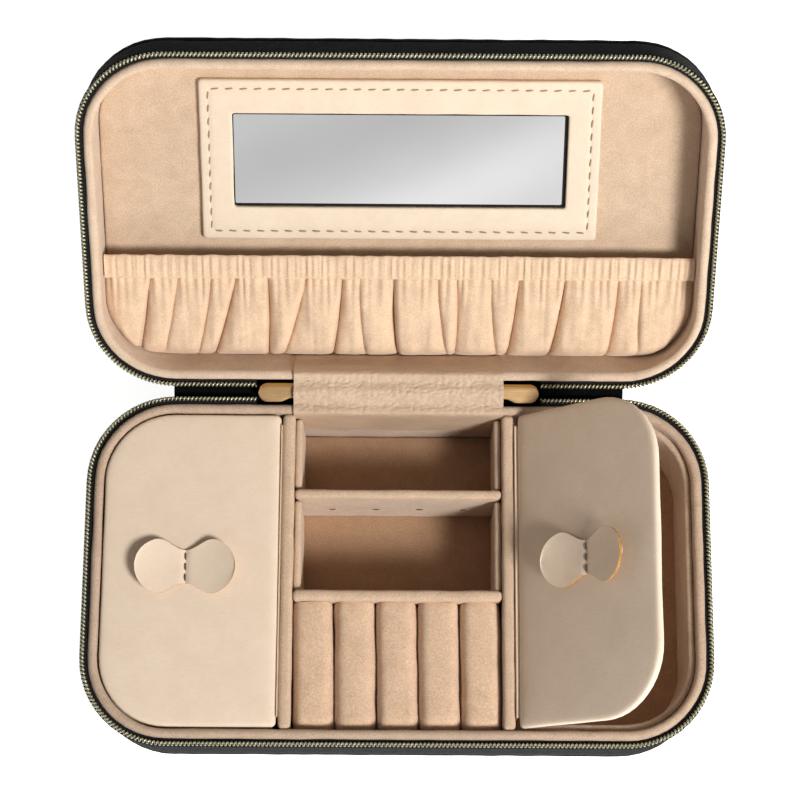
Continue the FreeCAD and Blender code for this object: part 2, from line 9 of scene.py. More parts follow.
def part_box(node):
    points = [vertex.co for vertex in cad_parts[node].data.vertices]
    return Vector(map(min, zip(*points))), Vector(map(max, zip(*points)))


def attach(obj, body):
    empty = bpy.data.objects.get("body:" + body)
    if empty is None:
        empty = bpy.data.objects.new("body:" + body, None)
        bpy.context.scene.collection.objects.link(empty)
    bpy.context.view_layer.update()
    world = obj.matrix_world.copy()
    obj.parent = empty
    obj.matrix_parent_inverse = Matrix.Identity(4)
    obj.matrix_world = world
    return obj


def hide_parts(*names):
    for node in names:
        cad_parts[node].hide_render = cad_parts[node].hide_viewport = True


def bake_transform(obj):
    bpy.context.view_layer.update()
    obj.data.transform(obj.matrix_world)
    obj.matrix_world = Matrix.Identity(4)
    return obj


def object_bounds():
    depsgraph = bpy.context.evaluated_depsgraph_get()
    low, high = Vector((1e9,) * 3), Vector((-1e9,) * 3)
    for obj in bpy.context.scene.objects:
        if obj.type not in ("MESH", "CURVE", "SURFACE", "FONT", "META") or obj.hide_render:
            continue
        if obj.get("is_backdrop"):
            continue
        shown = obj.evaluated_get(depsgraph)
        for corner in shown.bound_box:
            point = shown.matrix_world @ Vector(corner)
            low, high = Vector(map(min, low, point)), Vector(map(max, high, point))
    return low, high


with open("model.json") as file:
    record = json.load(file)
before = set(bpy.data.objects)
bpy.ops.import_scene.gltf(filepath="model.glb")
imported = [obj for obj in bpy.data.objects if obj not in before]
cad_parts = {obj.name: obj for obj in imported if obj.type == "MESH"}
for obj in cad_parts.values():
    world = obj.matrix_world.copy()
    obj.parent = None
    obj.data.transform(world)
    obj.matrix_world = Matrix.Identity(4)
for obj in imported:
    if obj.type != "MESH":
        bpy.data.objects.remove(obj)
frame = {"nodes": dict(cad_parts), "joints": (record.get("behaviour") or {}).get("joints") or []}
box_at_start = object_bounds()

# Lengths are millimetres until piece() turns them into metres, and only the lamp and the floor are
# placed in metres. A tray's own frame has its parting plane at z = 0 and its cavity below; the lid's
# tray frame is the base's, turned about the hinge.

MM = 0.001
TINY = 1e-6

# ---------------------------------------------------------------- sizes


def box_of(node):
    """The low and high corners of a CAD node's box."""
    return [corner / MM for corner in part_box(node)]


rim_high = box_of("base_rim_liner")[1]
RIM_X = rim_high.x
RIM_Y = rim_high.y
RIM_R = 25.5
RIM_WALL = 3.0
RIM_DROP = 0.3
SHELL_OUT = 2.0
SHELL_DROP = 2.2
NOTCH_HALF = 50.0
NOTCH_DEEP = 9.0
BASE_DEPTH = rim_high.z + RIM_DROP
BASE_INSIDE = 31.0
LID_DEPTH = 20.0
LID_INSIDE = 15.0
FIT = 0.1

COIL_OUT = 1.7
COIL_HALF = 0.8
COIL_THREAD = 0.34
COIL_PITCH = 1.28
COIL_STEPS = 9
ZIP_END = 45.6

# the folds of the pocket's header, and the finer ones on them: the noise's seed, and their pitch
FOLDS = (4.9, 2.7)
FINE_FOLDS = (8.1, 1.6)

SLIT_PITCH = 14.3
SLIT_HALF = 1.1
SLIT_DROP = 16.8
SLIT_TALL = 0.8

LEDGE_WIDE = 2.3
LEDGE_DROP = 3.6
WALL_FACE = 37.25
COVER_INNER = 37.85
COVER_GAP = 3.6
COVER_PIVOT = (37.55, -0.4)
COVER_OPEN = 44.5
BOW_AT = 67.3
BOW_REACH = 15.9

FRAME_HALF = (62.7, 26.6)
WINDOW_HALF = (52.5, 15.6)
FRAME_AT = 16.95

POCKET_FOOT = -50.75
POCKET_SEAM = -20.95
POCKET_TOP = -12.9

# each crease of the pocket's cloth: where it leaves the seam, where it meets the foot, how deep it
# is, and how far the cloth takes to fill out again beside it
CREASES = (
    (-80.0, -85.0, 1.9, 4.5), (-71.2, -77.0, 0.9, 6.0), (-60.2, -65.9, 1.1, 6.0), (-52.3, -60.6, 2.1, 5.0),
    (-42.3, -42.7, 2.3, 4.5), (-29.8, -38.0, 1.4, 7.0), (-18.3, -21.8, 2.2, 5.0), (-12.8, -10.5, 0.9, 5.0),
    (-1.7, -0.2, 2.4, 5.0), (12.3, 15.9, 1.0, 6.0), (18.5, 18.0, 1.5, 6.5), (29.6, 32.0, 1.0, 6.0),
    (38.4, 34.8, 2.3, 5.0), (53.4, 48.5, 2.6, 5.0), (70.3, 67.4, 1.6, 6.0), (77.8, 78.0, 0.7, 4.0),
)

SPINE_HALF = 73.0
WEB_HALF = 33.9

# ---------------------------------------------------------------- places

lid_joint = next(joint for joint in frame["joints"] if joint["name"] == "lid_hinge")
HINGE = Vector(lid_joint["pos_m"]) / MM
LEAN = math.radians(180.0 + lid_joint["range_deg"][0])


def turn(degrees, axis):
    return Matrix.Rotation(math.radians(degrees), 4, axis)


def shift(x=0.0, y=0.0, z=0.0):
    return Matrix.Translation((x, y, z))


BASE_TRAY = shift(z=BASE_DEPTH)
LID_TRAY = Matrix.Translation(HINGE) @ Matrix.Rotation(LEAN, 4, "X") @ shift(y=HINGE.y)
BETWEEN = Matrix.Translation(HINGE) @ Matrix.Rotation(LEAN / 2, 4, "X")
HALF_TURN = turn(180.0, "Z")
PIVOT = shift(COVER_PIVOT[0], 0.0, COVER_PIVOT[1])
SWUNG = PIVOT @ turn(-COVER_OPEN, "Y") @ PIVOT.inverted()
SIDES = {"left": (BASE_TRAY @ HALF_TURN, Matrix.Identity(4)), "right": (BASE_TRAY, SWUNG)}


def metres(matrix):
    """A placement in millimetres as one in metres."""
    scaled = matrix.copy()
    scaled.translation = matrix.translation * MM
    return scaled


# ---------------------------------------------------------------- materials

def tone(red, green, blue):
    """An sRGB colour, 0 to 255, as the linear one that a shader takes."""
    linear = []
    for value in (red, green, blue):
        share = value / 255
        linear.append(share / 12.92 if share <= 0.04045 else ((share + 0.055) / 1.055) ** 2.4)
    return (*linear, 1.0)


class Finish:
    """A node material on one Principled shader, with its textures in object coordinates."""

    def __init__(self, name, roughness=0.8, **sockets):
        self.material = bpy.data.materials.new(name)
        self.material.use_nodes = True
        self.tree = self.material.node_tree
        self.shader = self.tree.nodes["Principled BSDF"]
        self.coords = self.tree.nodes.new("ShaderNodeTexCoord").outputs["Object"]
        self.height = None
        self.shader.inputs["Roughness"].default_value = roughness
        for socket, value in sockets.items():
            self.shader.inputs[socket.replace("_", " ")].default_value = value

    def node(self, kind, **values):
        made = self.tree.nodes.new(f"ShaderNode{kind}")
        for name, value in values.items():
            made.inputs[name.replace("_", " ")].default_value = value
        return made

    def join(self, source, target):
        self.tree.links.new(source, target)

    def stretched(self, stretch):
        """The object's coordinates, scaled along each axis."""
        mapping = self.node("Mapping", Scale=stretch)
        self.join(self.coords, mapping.inputs["Vector"])
        return mapping.outputs["Vector"]

    def speckle(self, size, detail=3.0, rough=0.6, stretch=(1, 1, 1), distortion=0.0):
        """Noise whose features are about size millimetres across, 0 to 1."""
        texture = self.node("TexNoise", Scale=1.0 / (size * MM), Detail=detail, Roughness=rough,
                            Distortion=distortion)
        self.join(self.stretched(stretch), texture.inputs["Vector"])
        return texture.outputs["Fac"]

    def ribs(self, pitch, axis="X", distortion=0.0):
        """Soft parallel ribs, one every pitch millimetres along an axis."""
        wave = self.node("TexWave", Scale=math.pi / 10 / (pitch * MM), Distortion=distortion)
        wave.bands_direction = axis
        self.join(self.coords, wave.inputs["Vector"])
        return wave.outputs["Fac"]

    def blend(self, factor, low, high):
        """Factor 0 to 1 remapped to run from low to high."""
        mapped = self.node("MapRange", To_Min=low, To_Max=high)
        self.join(factor, mapped.inputs["Value"])
        return mapped.outputs["Result"]

    def colours(self, factor, *stops):
        ramp = self.node("ValToRGB")
        places = ramp.color_ramp.elements
        while len(places) < len(stops):
            places.new(0.5)
        for place, (position, colour) in zip(places, stops):
            place.position = position
            place.color = colour
        self.join(factor, ramp.inputs["Fac"])
        return ramp.outputs["Color"]

    def shaded(self, base, factor, low, high, shade):
        """A base colour times one that goes from shade to white as factor goes from low to high."""
        mix = self.tree.nodes.new("ShaderNodeMix")
        mix.data_type = "RGBA"
        mix.blend_type = "MULTIPLY"
        mix.inputs["Factor"].default_value = 1.0
        self.join(base, mix.inputs["A"])
        self.join(self.colours(factor, (low, (*shade, 1)), (high, (1, 1, 1, 1))), mix.inputs["B"])
        return mix.outputs["Result"]

    def colour(self, output):
        self.join(output, self.shader.inputs["Base Color"])

    def roughness(self, output):
        self.join(output, self.shader.inputs["Roughness"])

    def relief(self, output, depth, strength):
        """Bump of that depth in millimetres, on top of any before it."""
        bump = self.node("Bump", Strength=strength, Distance=depth * MM)
        self.join(output, bump.inputs["Height"])
        if self.height is not None:
            self.join(self.height, bump.inputs["Normal"])
        self.height = bump.outputs["Normal"]
        self.join(self.height, self.shader.inputs["Normal"])


def suede(name, dark, light, fuzz=0.5, nap=0.22):
    """Brushed microfibre: fine pale fuzz over soft, larger patches where the nap lies another way."""
    made = Finish(name, roughness=0.95, Sheen_Weight=nap, Sheen_Roughness=0.55, Specular_IOR_Level=0.12)
    fine = made.speckle(fuzz, detail=5.0, rough=0.72)
    patches = made.speckle(5.5, detail=4.0, rough=0.6, distortion=0.6)
    base = made.colours(fine, (0.28, dark), (0.72, light))
    made.colour(made.shaded(base, patches, 0.30, 0.68, (0.86, 0.85, 0.84)))
    made.roughness(made.blend(patches, 0.88, 1.0))
    made.relief(fine, 0.16, 0.6)
    made.relief(patches, 0.12, 0.4)
    return made.material


def leatherette(name, dark, light, grain=0.55, stretch=(1, 1, 1), depth=0.05):
    """Coated cloth with a fine pebbled grain, a little uneven in colour and shine."""
    gloss = 0.52
    made = Finish(name, roughness=gloss, Specular_IOR_Level=0.35)
    pebbles = made.node("TexVoronoi", Scale=1.0 / (grain * MM))
    made.join(made.stretched(stretch), pebbles.inputs["Vector"])
    cloudy = made.speckle(9.0, detail=3.0, stretch=stretch)
    threads = made.speckle(0.5, detail=4.0, stretch=(0.25, 1.6, 1))
    base = made.colours(cloudy, (0.30, dark), (0.70, light))
    made.colour(made.shaded(base, threads, 0.30, 0.60, (0.94, 0.935, 0.93)))
    made.roughness(made.blend(threads, gloss - 0.08, gloss + 0.12))
    made.relief(pebbles.outputs["Distance"], depth, 0.5)
    made.relief(threads, depth * 0.8, 0.5)
    return made.material


def black_velvet():
    made = Finish("velvet", roughness=1.0, Sheen_Weight=0.05, Sheen_Roughness=0.35, Specular_IOR_Level=0.05)
    pile = made.speckle(0.35, detail=6.0, rough=0.75)
    brushed = made.speckle(8.0, detail=4.0, distortion=1.0)
    base = made.colours(pile, (0.30, tone(6, 6, 7)), (0.62, tone(17, 16, 17)), (0.85, tone(50, 48, 48)))
    made.colour(made.shaded(base, brushed, 0.35, 0.65, (0.65, 0.65, 0.65)))
    made.relief(pile, 0.28, 0.8)
    return made.material


def woven_tape():
    made = Finish("zip_tape", roughness=0.82, Specular_IOR_Level=0.2)
    along = made.ribs(0.42, "X", 0.4)
    across = made.ribs(0.42, "Y", 0.4)
    fibre = made.speckle(0.2, detail=4.0)
    made.colour(made.colours(fibre, (0.30, tone(9, 9, 10)), (0.75, tone(38, 37, 38))))
    made.relief(along, 0.1, 0.6)
    made.relief(across, 0.1, 0.6)
    return made.material


def metallised_coil():
    made = Finish("zip_coil", roughness=0.34, Metallic=0.55, Specular_IOR_Level=0.6)
    drawn = made.speckle(0.5, detail=3.0)
    made.colour(made.colours(drawn, (0.30, tone(140, 138, 112)), (0.70, tone(218, 214, 184))))
    made.roughness(made.blend(drawn, 0.26, 0.44))
    made.relief(drawn, 0.03, 0.4)
    return made.material


def brushed_gold(name, dark, light, gloss):
    """Plated metal with faint lengthwise strokes and a little wear."""
    made = Finish(name, roughness=gloss, Metallic=0.75)
    strokes = made.speckle(0.6, detail=5.0, stretch=(0.08, 1.8, 1))
    worn = made.speckle(2.2, detail=3.0)
    base = made.colours(strokes, (0.30, dark), (0.70, light))
    made.colour(made.shaded(base, worn, 0.30, 0.62, (0.94, 0.93, 0.91)))
    made.roughness(made.blend(strokes, gloss - 0.06, gloss + 0.08))
    made.relief(strokes, 0.012, 0.4)
    return made.material


def silvered_glass():
    """A flat mirror: barely uneven silvering under clear glass."""
    made = Finish("mirror", roughness=0.02, Metallic=1.0)
    haze = made.speckle(16.0, detail=2.0, rough=0.4)
    made.colour(made.colours(haze, (0.30, tone(236, 236, 236)), (0.70, tone(239, 239, 239))))
    made.roughness(made.blend(haze, 0.012, 0.030))
    return made.material


# painted shade: this black card shows in the gap round the mirror, standing in for the recess's shadow and
# its reflection in the glass
def black_card_painted_shade():
    made = Finish("backing_board", roughness=0.75, Specular_IOR_Level=0.25)
    fibre = made.speckle(0.4, detail=4.0)
    made.colour(made.colours(fibre, (0.30, tone(10, 8, 7)), (0.75, tone(30, 24, 20))))
    made.relief(fibre, 0.04, 0.5)
    return made.material


def thread(name, dark, light):
    made = Finish(name, roughness=0.7, Sheen_Weight=0.2)
    twist = made.speckle(0.25, detail=3.0, stretch=(1, 1, 2))
    made.colour(made.colours(twist, (0.30, dark), (0.70, light)))
    made.relief(twist, 0.06, 0.6)
    return made.material


def cut_edge():
    """The painted edge of cut leatherette, tan with a golden cast."""
    made = Finish("cut_edge", roughness=0.45, Specular_IOR_Level=0.4)
    layers = made.speckle(0.6, detail=4.0, stretch=(0.4, 0.4, 2))
    made.colour(made.colours(layers, (0.30, tone(150, 104, 52)), (0.70, tone(212, 164, 96))))
    made.relief(layers, 0.05, 0.5)
    return made.material


def pale_floor():
    made = Finish("pale_floor", roughness=0.9, Specular_IOR_Level=0.1)
    paper = made.speckle(3.0, detail=3.0)
    made.colour(made.colours(paper, (0.30, tone(246, 246, 246)), (0.70, tone(250, 250, 250))))
    made.shader.inputs["Emission Color"].default_value = (1, 1, 1, 1)
    made.shader.inputs["Emission Strength"].default_value = 0.88
    return made.material


VELVET = black_velvet()
LINING = {
    "base": suede("lining", tone(168, 142, 120), tone(212, 188, 165)),
    "lid": suede("lid_lining", tone(194, 168, 143), tone(230, 206, 182)),
}
# painted shade: a darker copy of the wall suede for the base's floor, standing in for the shade deep in the
# bays
FLOOR_SUEDE_PAINTED_SHADE = suede("floor_suede_painted_shade", tone(150, 114, 86), tone(190, 156, 126))
SUEDE = suede("suede", tone(184, 155, 129), tone(226, 199, 172))
PANEL = suede("panel_suede", tone(184, 157, 131), tone(225, 200, 174))
ROLLS = suede("roll_suede", tone(196, 160, 130), tone(234, 205, 176), fuzz=0.6, nap=0.3)
POCKET = suede("pocket_fabric", tone(208, 174, 142), tone(243, 215, 186), fuzz=0.45, nap=0.25)
COVER = leatherette("leatherette", tone(226, 205, 182), tone(231, 211, 189))
CREAM = leatherette("frame_leatherette", tone(220, 202, 180), tone(226, 209, 187))
WEB = leatherette("web_leatherette", tone(190, 163, 138), tone(208, 182, 156), grain=0.8,
                  stretch=(0.5, 1, 1), depth=0.2)
TAPE = woven_tape()
COIL = metallised_coil()
GOLD = brushed_gold("zip_metal", tone(174, 140, 98), tone(190, 156, 113), 0.46)
# painted highlight: a smoother gold, also painted brighter, for the pull tab's edge towards the lid
GOLD_PAINTED_HIGHLIGHT = brushed_gold("zip_metal_polished_painted_highlight", tone(232, 164, 84), tone(248, 186, 106), 0.24)
MIRROR = silvered_glass()
PAINTED_SHADE_CARD = black_card_painted_shade()
CREAM_THREAD = thread("cream_thread", tone(206, 180, 146), tone(240, 220, 190))
FRAME_THREAD = thread("frame_thread", tone(132, 112, 72), tone(176, 154, 108))
DARK_THREAD = thread("dark_thread", tone(60, 46, 32), tone(104, 82, 60))
EDGE = cut_edge()

# ---------------------------------------------------------------- building blocks


def piece(name, points, faces, place, material, sharp=42.0):
    """A mesh of points in millimetres of its own frame, put in its place."""
    mesh = bpy.data.meshes.new(name)
    mesh.from_pydata([tuple(Vector(point) * MM) for point in points], [], faces)
    mesh.validate()
    made = bpy.data.objects.new(name, mesh)
    bpy.context.scene.collection.objects.link(made)
    made.matrix_world = metres(place)
    mesh.materials.append(material)
    mesh.shade_smooth()
    mesh.set_sharp_from_angle(angle=math.radians(sharp))
    return made


def settle(made, node, body):
    """A finished piece rides a body in the place of a CAD node."""
    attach(made, body)
    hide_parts(node)


def ripple(made, depth, size, seed, stretch=(1, 1, 1)):
    """Pushes the surface in and out along its normals by smooth noise: depth and size in millimetres."""
    offset = Vector((seed, seed * 0.7, -seed))
    moves = []
    for vertex in made.data.vertices:
        point = vertex.co / MM
        spot = Vector([value * factor / size for value, factor in zip(point, stretch)]) + offset
        moves.append(vertex.normal * (noise.noise(spot) * depth * MM))
    for vertex, move in zip(made.data.vertices, moves):
        vertex.co += move


def ring(x_range, y_range, radii, inset=0.0, arc_steps=12, step=4.0):
    """A rounded rectangle pulled in by inset, counter-clockwise from the lower right corner. Every
    inset gives the same number of points, so rings can be joined point to point."""
    low_x, high_x = x_range
    low_y, high_y = y_range
    corners = [(high_x, low_y), (high_x, high_y), (low_x, high_y), (low_x, low_y)]
    ways = [(-1, 1), (-1, -1), (1, -1), (1, 1)]
    arcs = []
    for number, ((x, y), (way_x, way_y), radius) in enumerate(zip(corners, ways, radii)):
        bend = max(radius - inset, 0.12)
        centre = (x + way_x * (inset + bend), y + way_y * (inset + bend))
        start = math.radians(90 * number - 90)
        arc = []
        for count in range(arc_steps + 1):
            angle = start + math.pi / 2 * count / arc_steps
            arc.append((centre[0] + bend * math.cos(angle), centre[1] + bend * math.sin(angle)))
        arcs.append(arc)
    sides = [high_y - low_y, high_x - low_x, high_y - low_y, high_x - low_x]
    points = []
    for number, arc in enumerate(arcs):
        points.extend(arc)
        next_arc = arcs[(number + 1) % 4]
        straight = sides[number] - radii[number] - radii[(number + 1) % 4]
        parts = max(1, round(straight / step))
        for count in range(1, parts):
            share = count / parts
            points.append(tuple(a + (b - a) * share for a, b in zip(arc[-1], next_arc[0])))
    return points


def rim(offset=0.0, **options):
    """The rim's outline, pushed outward by offset."""
    return ring((-RIM_X, RIM_X), (-RIM_Y, RIM_Y), (RIM_R,) * 4, inset=-offset, **options)


def lofted(rings, closed=False, kept=None):
    """Points and faces of a surface through rings of equal count. closed joins the last ring to the
    first; kept says which points round the ring stay, and the cut ends are filled."""
    count = len(rings[0])
    points = [point for each in rings for point in each]
    faces = []
    pairs = [(row, row + 1) for row in range(len(rings) - 1)]
    if closed:
        pairs.append((len(rings) - 1, 0))
    stays = [True] * count if kept is None else kept
    for low, high in pairs:
        for here in range(count):
            there = (here + 1) % count
            if stays[here] and stays[there]:
                near = low * count
                far = high * count
                faces.append((near + here, near + there, far + there, far + here))
    if closed and kept is not None:
        for here in range(count):
            column = [row * count + here for row in range(len(rings))]
            if stays[here] and not stays[here - 1]:
                faces.append(column)
            if stays[here] and not stays[(here + 1) % count]:
                faces.append(column[::-1])
    if not closed:
        faces.append(list(range(count))[::-1])
        last = (len(rings) - 1) * count
        faces.append([last + here for here in range(count)])
    return points, faces


def used_only(points, faces):
    """The same mesh without the points that no face uses."""
    wanted = sorted({index for face in faces for index in face})
    place = {old: new for new, old in enumerate(wanted)}
    return [points[old] for old in wanted], [[place[index] for index in face] for face in faces]


def swept(profile, kept=None, closed=True, **options):
    """A profile of (outward offset, height) carried round the rim."""
    rings = [[(x, y, height) for x, y in rim(offset, **options)] for offset, height in profile]
    flags = None if kept is None else [kept(*point[:2]) for point in rings[0]]
    points, faces = lofted(rings, closed=closed, kept=flags)
    return used_only(points, faces)


def arc(centre, radius, start, end, steps=6):
    """Points of an arc in a profile, from one angle to another in degrees."""
    found = []
    for count in range(steps + 1):
        angle = math.radians(start + (end - start) * count / steps)
        found.append((centre[0] + radius * math.cos(angle), centre[1] + radius * math.sin(angle)))
    return found


def stations(low, high, radius, step, extra=()):
    """Places along one side of a soft block: close together round its corners, and any extra ones."""
    corner = [radius * (1 - math.cos(math.radians(18 * count))) for count in range(6)]
    straight = high - low - 2 * radius
    parts = max(2, round(straight / step))
    places = [low + value for value in corner] + [high - value for value in corner] + list(extra)
    places += [low + radius + straight * count / parts for count in range(1, parts)]
    return sorted({round(value, 4) for value in places})


def soft_block(low, high, radius, holes=()):
    """A block with rounded edges on a fine grid. holes are (x0, x1, z0, z1) slits right through along y."""
    step = 2.6
    across = [value for hole in holes for value in hole[:2]]
    upward = [value for hole in holes for value in hole[2:]]
    grids = [stations(a, b, radius, step, extra) for a, b, extra in zip(low, high, (across, (), upward))]
    sizes = [len(grid) - 1 for grid in grids]
    index = {}
    points = []

    def corner(*cell):
        if cell not in index:
            spot = Vector([grid[number] for grid, number in zip(grids, cell)])
            heart = Vector([min(max(v, a + radius), b - radius) for v, a, b in zip(spot, low, high)])
            away = spot - heart
            if away.length > TINY:
                spot = heart + away.normalized() * radius * min(1.0, max(abs(v) for v in away) / radius)
            index[cell] = len(points)
            points.append(tuple(spot))
        return index[cell]

    def pierced(a, c):
        x = (grids[0][a] + grids[0][a + 1]) / 2
        z = (grids[2][c] + grids[2][c + 1]) / 2
        return any(x0 < x < x1 and z0 < z < z1 for x0, x1, z0, z1 in holes)

    def square(axis, at, first, second):
        """One square of the grid across an axis, wound to face that axis's low side."""
        found = []
        for one, other in ((0, 0), (1, 0), (1, 1), (0, 1)):
            cell = [at] * 3
            cell[(axis + 2) % 3] = first + one
            cell[(axis + 1) % 3] = second + other
            found.append(corner(*cell))
        return found

    faces = []
    for axis in range(3):
        cells = itertools.product(range(sizes[(axis + 2) % 3]), range(sizes[(axis + 1) % 3]))
        for first, second in cells:
            if axis != 1 or not pierced(first, second):
                faces.append(square(axis, 0, first, second))
                faces.append(square(axis, sizes[axis], first, second)[::-1])
    for x0, x1, z0, z1 in holes:
        edge = [(x0, z0), (x1, z0), (x1, z1), (x0, z1)]
        cells = [(grids[0].index(round(x, 4)), grids[2].index(round(z, 4))) for x, z in edge]
        loop = []
        for (a, c), (next_a, next_c) in zip(cells, cells[1:] + cells[:1]):
            while (a, c) != (next_a, next_c):
                loop.append((a, c))
                a += (next_a > a) - (next_a < a)
                c += (next_c > c) - (next_c < c)
        end = sizes[1]
        for (a, c), (next_a, next_c) in zip(loop, loop[1:] + loop[:1]):
            wall = ((a, 0, c), (a, end, c), (next_a, end, next_c), (next_a, 0, next_c))
            faces.append([corner(*cell) for cell in wall])
    return points, faces


def tube(points, radius, sides=6):
    """Points and faces of a round thread along points, with closed ends that taper."""
    rings = []
    for number, point in enumerate(points):
        here = Vector(point)
        before = Vector(points[max(number - 1, 0)])
        after = Vector(points[min(number + 1, len(points) - 1)])
        along = (after - before).normalized()
        side = along.orthogonal().normalized()
        other = along.cross(side)
        at_end = number in (0, len(points) - 1)
        reach = radius * (0.45 if at_end else 1.0)
        loop = []
        for count in range(sides):
            angle = 2 * math.pi * count / sides
            loop.append(tuple(here + side * (reach * math.cos(angle)) + other * (reach * math.sin(angle))))
        rings.append(loop)
    return lofted(rings)


def merged(parts):
    points = []
    faces = []
    for more_points, more_faces in parts:
        start = len(points)
        points.extend(more_points)
        faces.extend([[index + start for index in face] for face in more_faces])
    return points, faces


def path_length(path):
    return sum((other - one).length for one, other in zip(path, path[1:]))


def walked(path, count):
    """Each of count equal steps along a path, ends included: the place, and the path's direction there."""
    lengths = [0.0]
    for one, other in zip(path, path[1:]):
        lengths.append(lengths[-1] + (other - one).length)
    span = 0
    for number in range(count + 1):
        run = lengths[-1] * number / count
        while span < len(lengths) - 2 and lengths[span + 1] < run:
            span += 1
        stretch = path[span + 1] - path[span]
        share = (run - lengths[span]) / max(stretch.length, TINY)
        yield path[span].lerp(path[span + 1], share), stretch.normalized()


def spread(reach, count):
    """The middles of count equal stretches between -reach and reach."""
    return [-reach + 2 * reach * (number + 0.5) / count for number in range(count)]


def stitch_row(name, ends, radius, rise, place, material, body):
    """A piece of arched threads, one over each pair of ends, which sink just under the surface."""
    steps = 6
    threads = []
    for start, end in ends:
        start, end = Vector(start), Vector(end)
        path = []
        for count in range(steps + 1):
            share = count / steps
            lift = rise * math.sin(math.pi * share) - radius * 0.4
            path.append(start.lerp(end, share) + Vector((0, 0, lift)))
        threads.append(tube(path, radius))
    points, faces = merged(threads)
    sewn = piece(name, points, faces, place, material)
    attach(sewn, body)
    return sewn


def plate(top, bottom, wide):
    """A closed, thin mesh between two grids of points, each wide points across. Its faces go in pairs of
    top and bottom along each row, and then round the edge."""
    tall = len(top) // wide
    below = len(top)
    faces = []
    for row in range(tall - 1):
        for column in range(wide - 1):
            a = row * wide + column
            faces.append((a, a + 1, a + wide + 1, a + wide))
            faces.append((a + wide + below, a + wide + 1 + below, a + 1 + below, a + below))
    for a in range(wide - 1):
        b = (tall - 1) * wide + a
        faces.append((a, a + below, a + 1 + below, a + 1))
        faces.append((b + 1, b + 1 + below, b + below, b))
    for row in range(tall - 1):
        a = row * wide
        b = a + wide - 1
        faces.append((a + wide, a + wide + below, a + below, a))
        faces.append((b, b + below, b + wide + below, b + wide))
    return top + bottom, faces


def two_sided(sheet, wide, thick):
    """A plate of one thickness either side of a grid of points that is wide points across."""
    tall = len(sheet) // wide
    halves = []
    for row in range(tall):
        for column in range(wide):
            left = sheet[row * wide + max(column - 1, 0)]
            right = sheet[row * wide + min(column + 1, wide - 1)]
            below = sheet[max(row - 1, 0) * wide + column]
            above = sheet[min(row + 1, tall - 1) * wide + column]
            halves.append((right - left).cross(above - below).normalized() * (thick / 2))
    top = [point + half for point, half in zip(sheet, halves)]
    bottom = [point - half for point, half in zip(sheet, halves)]
    return plate(top, bottom, wide)


# ---------------------------------------------------------------- the two trays

def outer_shell(name, tray, depth, hinge_side, body):
    """The velvet-covered case half, its hinge side cut down where the spine crosses."""
    wall = 1.6
    bend = 4.0
    seam = -depth + 6.0
    profile = [(-60.0, -depth + wall), (-30.0, -depth + wall), (-2.0, -depth + wall)]
    profile += [(0.4, -depth + wall + 2.0), (0.4, -depth * 0.5), (0.4, -SHELL_DROP - 0.7)]
    profile += arc((1.2, -SHELL_DROP - 0.8), 0.8, 180, 0, 8)
    profile += [(SHELL_OUT, -depth * share) for share in (0.3, 0.45, 0.6)]
    profile += [(SHELL_OUT, seam + 0.7), (SHELL_OUT - 0.35, seam), (SHELL_OUT, seam - 0.7)]
    profile += arc((SHELL_OUT - bend, -depth + bend), bend, 0, -90, 8)
    profile += [(offset, -depth) for offset in (-8.0, -20.0, -35.0, -50.0)]
    profile = [(max(offset, 2.0 - RIM_Y), height) for offset, height in profile]
    rings = [[(x, y, height) for x, y in rim(offset, step=2.0)] for offset, height in profile]
    edge = rim(SHELL_OUT, step=2.0)
    floor = -depth + bend + 3.0
    for loop in rings:
        for number, (x, y, height) in enumerate(loop):
            outline_x, outline_y = edge[number]
            if outline_y * hinge_side > RIM_Y and abs(outline_x) < NOTCH_HALF and height > floor:
                share = (-NOTCH_DEEP - floor) / (-SHELL_DROP - floor)
                loop[number] = (x, y, floor + (height - floor) * share)
    points, faces = lofted(rings)
    made = piece(name, points, faces, tray, VELVET, sharp=50.0)
    ripple(made, 0.16, 5.0, seed=depth)
    settle(made, name, body)


def rim_liner(name, tray, depth, body):
    """The padded wall inside the shell: board wrapped in suede, with a full round top."""
    bottom = -depth + 1.7
    round_top = RIM_WALL / 2
    top = -RIM_DROP - round_top
    levels = [bottom + (top - bottom) * share for share in (0.25, 0.5, 0.75, 0.9)]
    profile = [(-RIM_WALL, bottom)]
    profile += [(-RIM_WALL, level) for level in levels]
    profile += arc((-round_top, top), round_top, 180, 0, 10)
    profile += [(0.0, level) for level in levels[::-1]]
    profile += [(0.0, bottom)]
    points, faces = swept(profile, step=1.6)
    made = piece(name, points, faces, tray, LINING[body])
    ripple(made, 0.22, 9.0, seed=3.0)
    settle(made, name, body)


def floor_pad(name, tray, depth, inside, body, finish):
    """The board at the bottom of a tray, wrapped in suede, with a soft edge."""
    bottom = -depth + 1.7
    profile = [(-8.0, bottom), (-3.3, bottom), (-3.2, bottom + 0.4)]
    profile += [(-3.2, -inside - 0.6), (-3.5, -inside - 0.18), (-4.2, -inside)]
    profile += [(offset, -inside) for offset in (-7.0, -12.0, -20.0, -30.0, -40.0, -50.0)]
    points, faces = swept(profile, closed=False, step=3.0)
    made = piece(name, points, faces, tray, finish)
    ripple(made, 0.14, 14.0, seed=8.0)
    settle(made, name, body)


